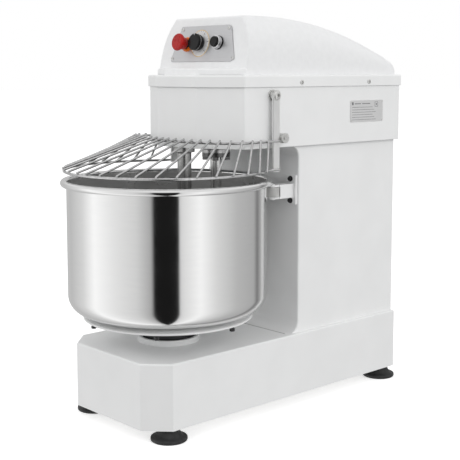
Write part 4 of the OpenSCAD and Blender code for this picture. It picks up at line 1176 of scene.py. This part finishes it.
def make_world():
    """White for the camera; paint takes soft light, and gloss sees softboxes with a dark gap between them."""
    world = bpy.data.worlds.new("Studio")
    bpy.context.scene.world = world
    world.use_nodes = True
    tree = world.node_tree
    tree.nodes.clear()
    new, link = tree.nodes.new, tree.links.new
    split = new("ShaderNodeSeparateXYZ")
    link(new("ShaderNodeTexCoord").outputs["Generated"], split.inputs["Vector"])
    compass = new("ShaderNodeMath")
    compass.operation = "ARCTAN2"
    link(split.outputs["Y"], compass.inputs[0])
    link(split.outputs["X"], compass.inputs[1])
    unit = new("ShaderNodeMapRange")
    unit.inputs["From Min"].default_value = -math.pi
    unit.inputs["From Max"].default_value = math.pi
    link(compass.outputs["Value"], unit.inputs["Value"])

    def around(table, smooth=False):
        """Brightness by compass direction."""
        ramp = new("ShaderNodeValToRGB")
        ramp.color_ramp.interpolation = "B_SPLINE" if smooth else "LINEAR"
        stops = ramp.color_ramp.elements
        while len(stops) < len(table):
            stops.new(0.5)
        for stop, (degrees, bright) in zip(stops, table):
            stop.position = (degrees + 180) / 360
            stop.color = (bright, bright, bright, 1)
        link(unit.outputs["Result"], ramp.inputs["Fac"])
        return ramp.outputs["Color"]

    def by_height(low, high, below, above):
        """One colour under a height, another over it."""
        height = new("ShaderNodeMapRange")
        height.interpolation_type = "SMOOTHSTEP"
        height.inputs["From Min"].default_value = low
        height.inputs["From Max"].default_value = high
        link(split.outputs["Z"], height.inputs["Value"])
        mix = new("ShaderNodeMix")
        mix.data_type = "RGBA"
        link(height.outputs["Result"], mix.inputs["Factor"])
        for socket, colour in (("A", below), ("B", above)):
            if isinstance(colour, float):
                mix.inputs[socket].default_value = (colour, colour, colour, 1)
            else:
                link(colour, mix.inputs[socket])
        return mix.outputs["Result"]

    gloss, soft, seen = (new("ShaderNodeBackground") for _ in range(3))
    link(by_height(0.1, 0.5, around(STUDIO), 0.92), gloss.inputs["Color"])
    link(by_height(-0.35, 0.1, 0.3, by_height(0.2, 0.7, around(SOFT, True), 0.42)), soft.inputs["Color"])
    soft.inputs["Strength"].default_value = SOFT_POWER
    seen.inputs["Color"].default_value = (1, 1, 1, 1)
    path = new("ShaderNodeLightPath")
    by_gloss, by_camera = new("ShaderNodeMixShader"), new("ShaderNodeMixShader")
    link(path.outputs["Is Glossy Ray"], by_gloss.inputs["Fac"])
    link(soft.outputs["Background"], by_gloss.inputs[1])
    link(gloss.outputs["Background"], by_gloss.inputs[2])
    link(path.outputs["Is Camera Ray"], by_camera.inputs["Fac"])
    link(by_gloss.outputs["Shader"], by_camera.inputs[1])
    link(seen.outputs["Background"], by_camera.inputs[2])
    out = new("ShaderNodeOutputWorld")
    link(by_camera.outputs["Shader"], out.inputs["Surface"])


def make_floor():
    bm = bmesh.new()
    fill(bm, loop_verts(bm, circle_ring(0, 0, 0, FLOOR_R, 96)))
    mesh = bpy.data.meshes.new("floor")
    bm.to_mesh(mesh)
    bm.free()
    paper = Paint("Studio floor", Specular_IOR_Level=0.1, Emission_Color=(1, 1, 1, 1), Emission_Strength=0.5)
    paper.tones(grey(0.93), grey(0.95), paper.noise(400, detail=2))
    paper.gloss(0.8, 0.9, paper.noise(300, detail=2))
    mesh.materials.append(paper.material)
    floor = bpy.data.objects.new("floor", mesh)
    floor.visible_glossy = False
    floor.visible_diffuse = False
    bpy.context.scene.collection.objects.link(floor)


def make_studio():
    make_camera()
    make_world()
    make_floor()
    area_light("Key", (-1.6, -3.2, 2.6), MIDDLE, (2.4, 2.0), 24)
    area_light("Side", (3.4, -0.2, 2.0), MIDDLE, (2.4, 2.0), 26)
    area_light("Top", (0.2, -0.3, 4.2), (0, 0, 0), (3.0, 3.0), 14)
    bpy.context.scene.view_settings.view_transform = "Standard"


make_studio()
make_base()
make_collar()
make_feet()
make_column()
make_skirt()
make_rim()
make_cover()
make_cover_screws()
make_control_plate()
make_dial()
make_plate_screws()
make_estop()
make_timer()
make_start()
make_rating_plate()
make_bowl()
make_dish()
make_hook()
make_breaker()
make_guard_rings()
make_guard_spokes()
make_guard_arms()
make_guard_pivots()
for node, (material, edge_mm) in KEPT.items():
    keep(node, material, edge_mm)
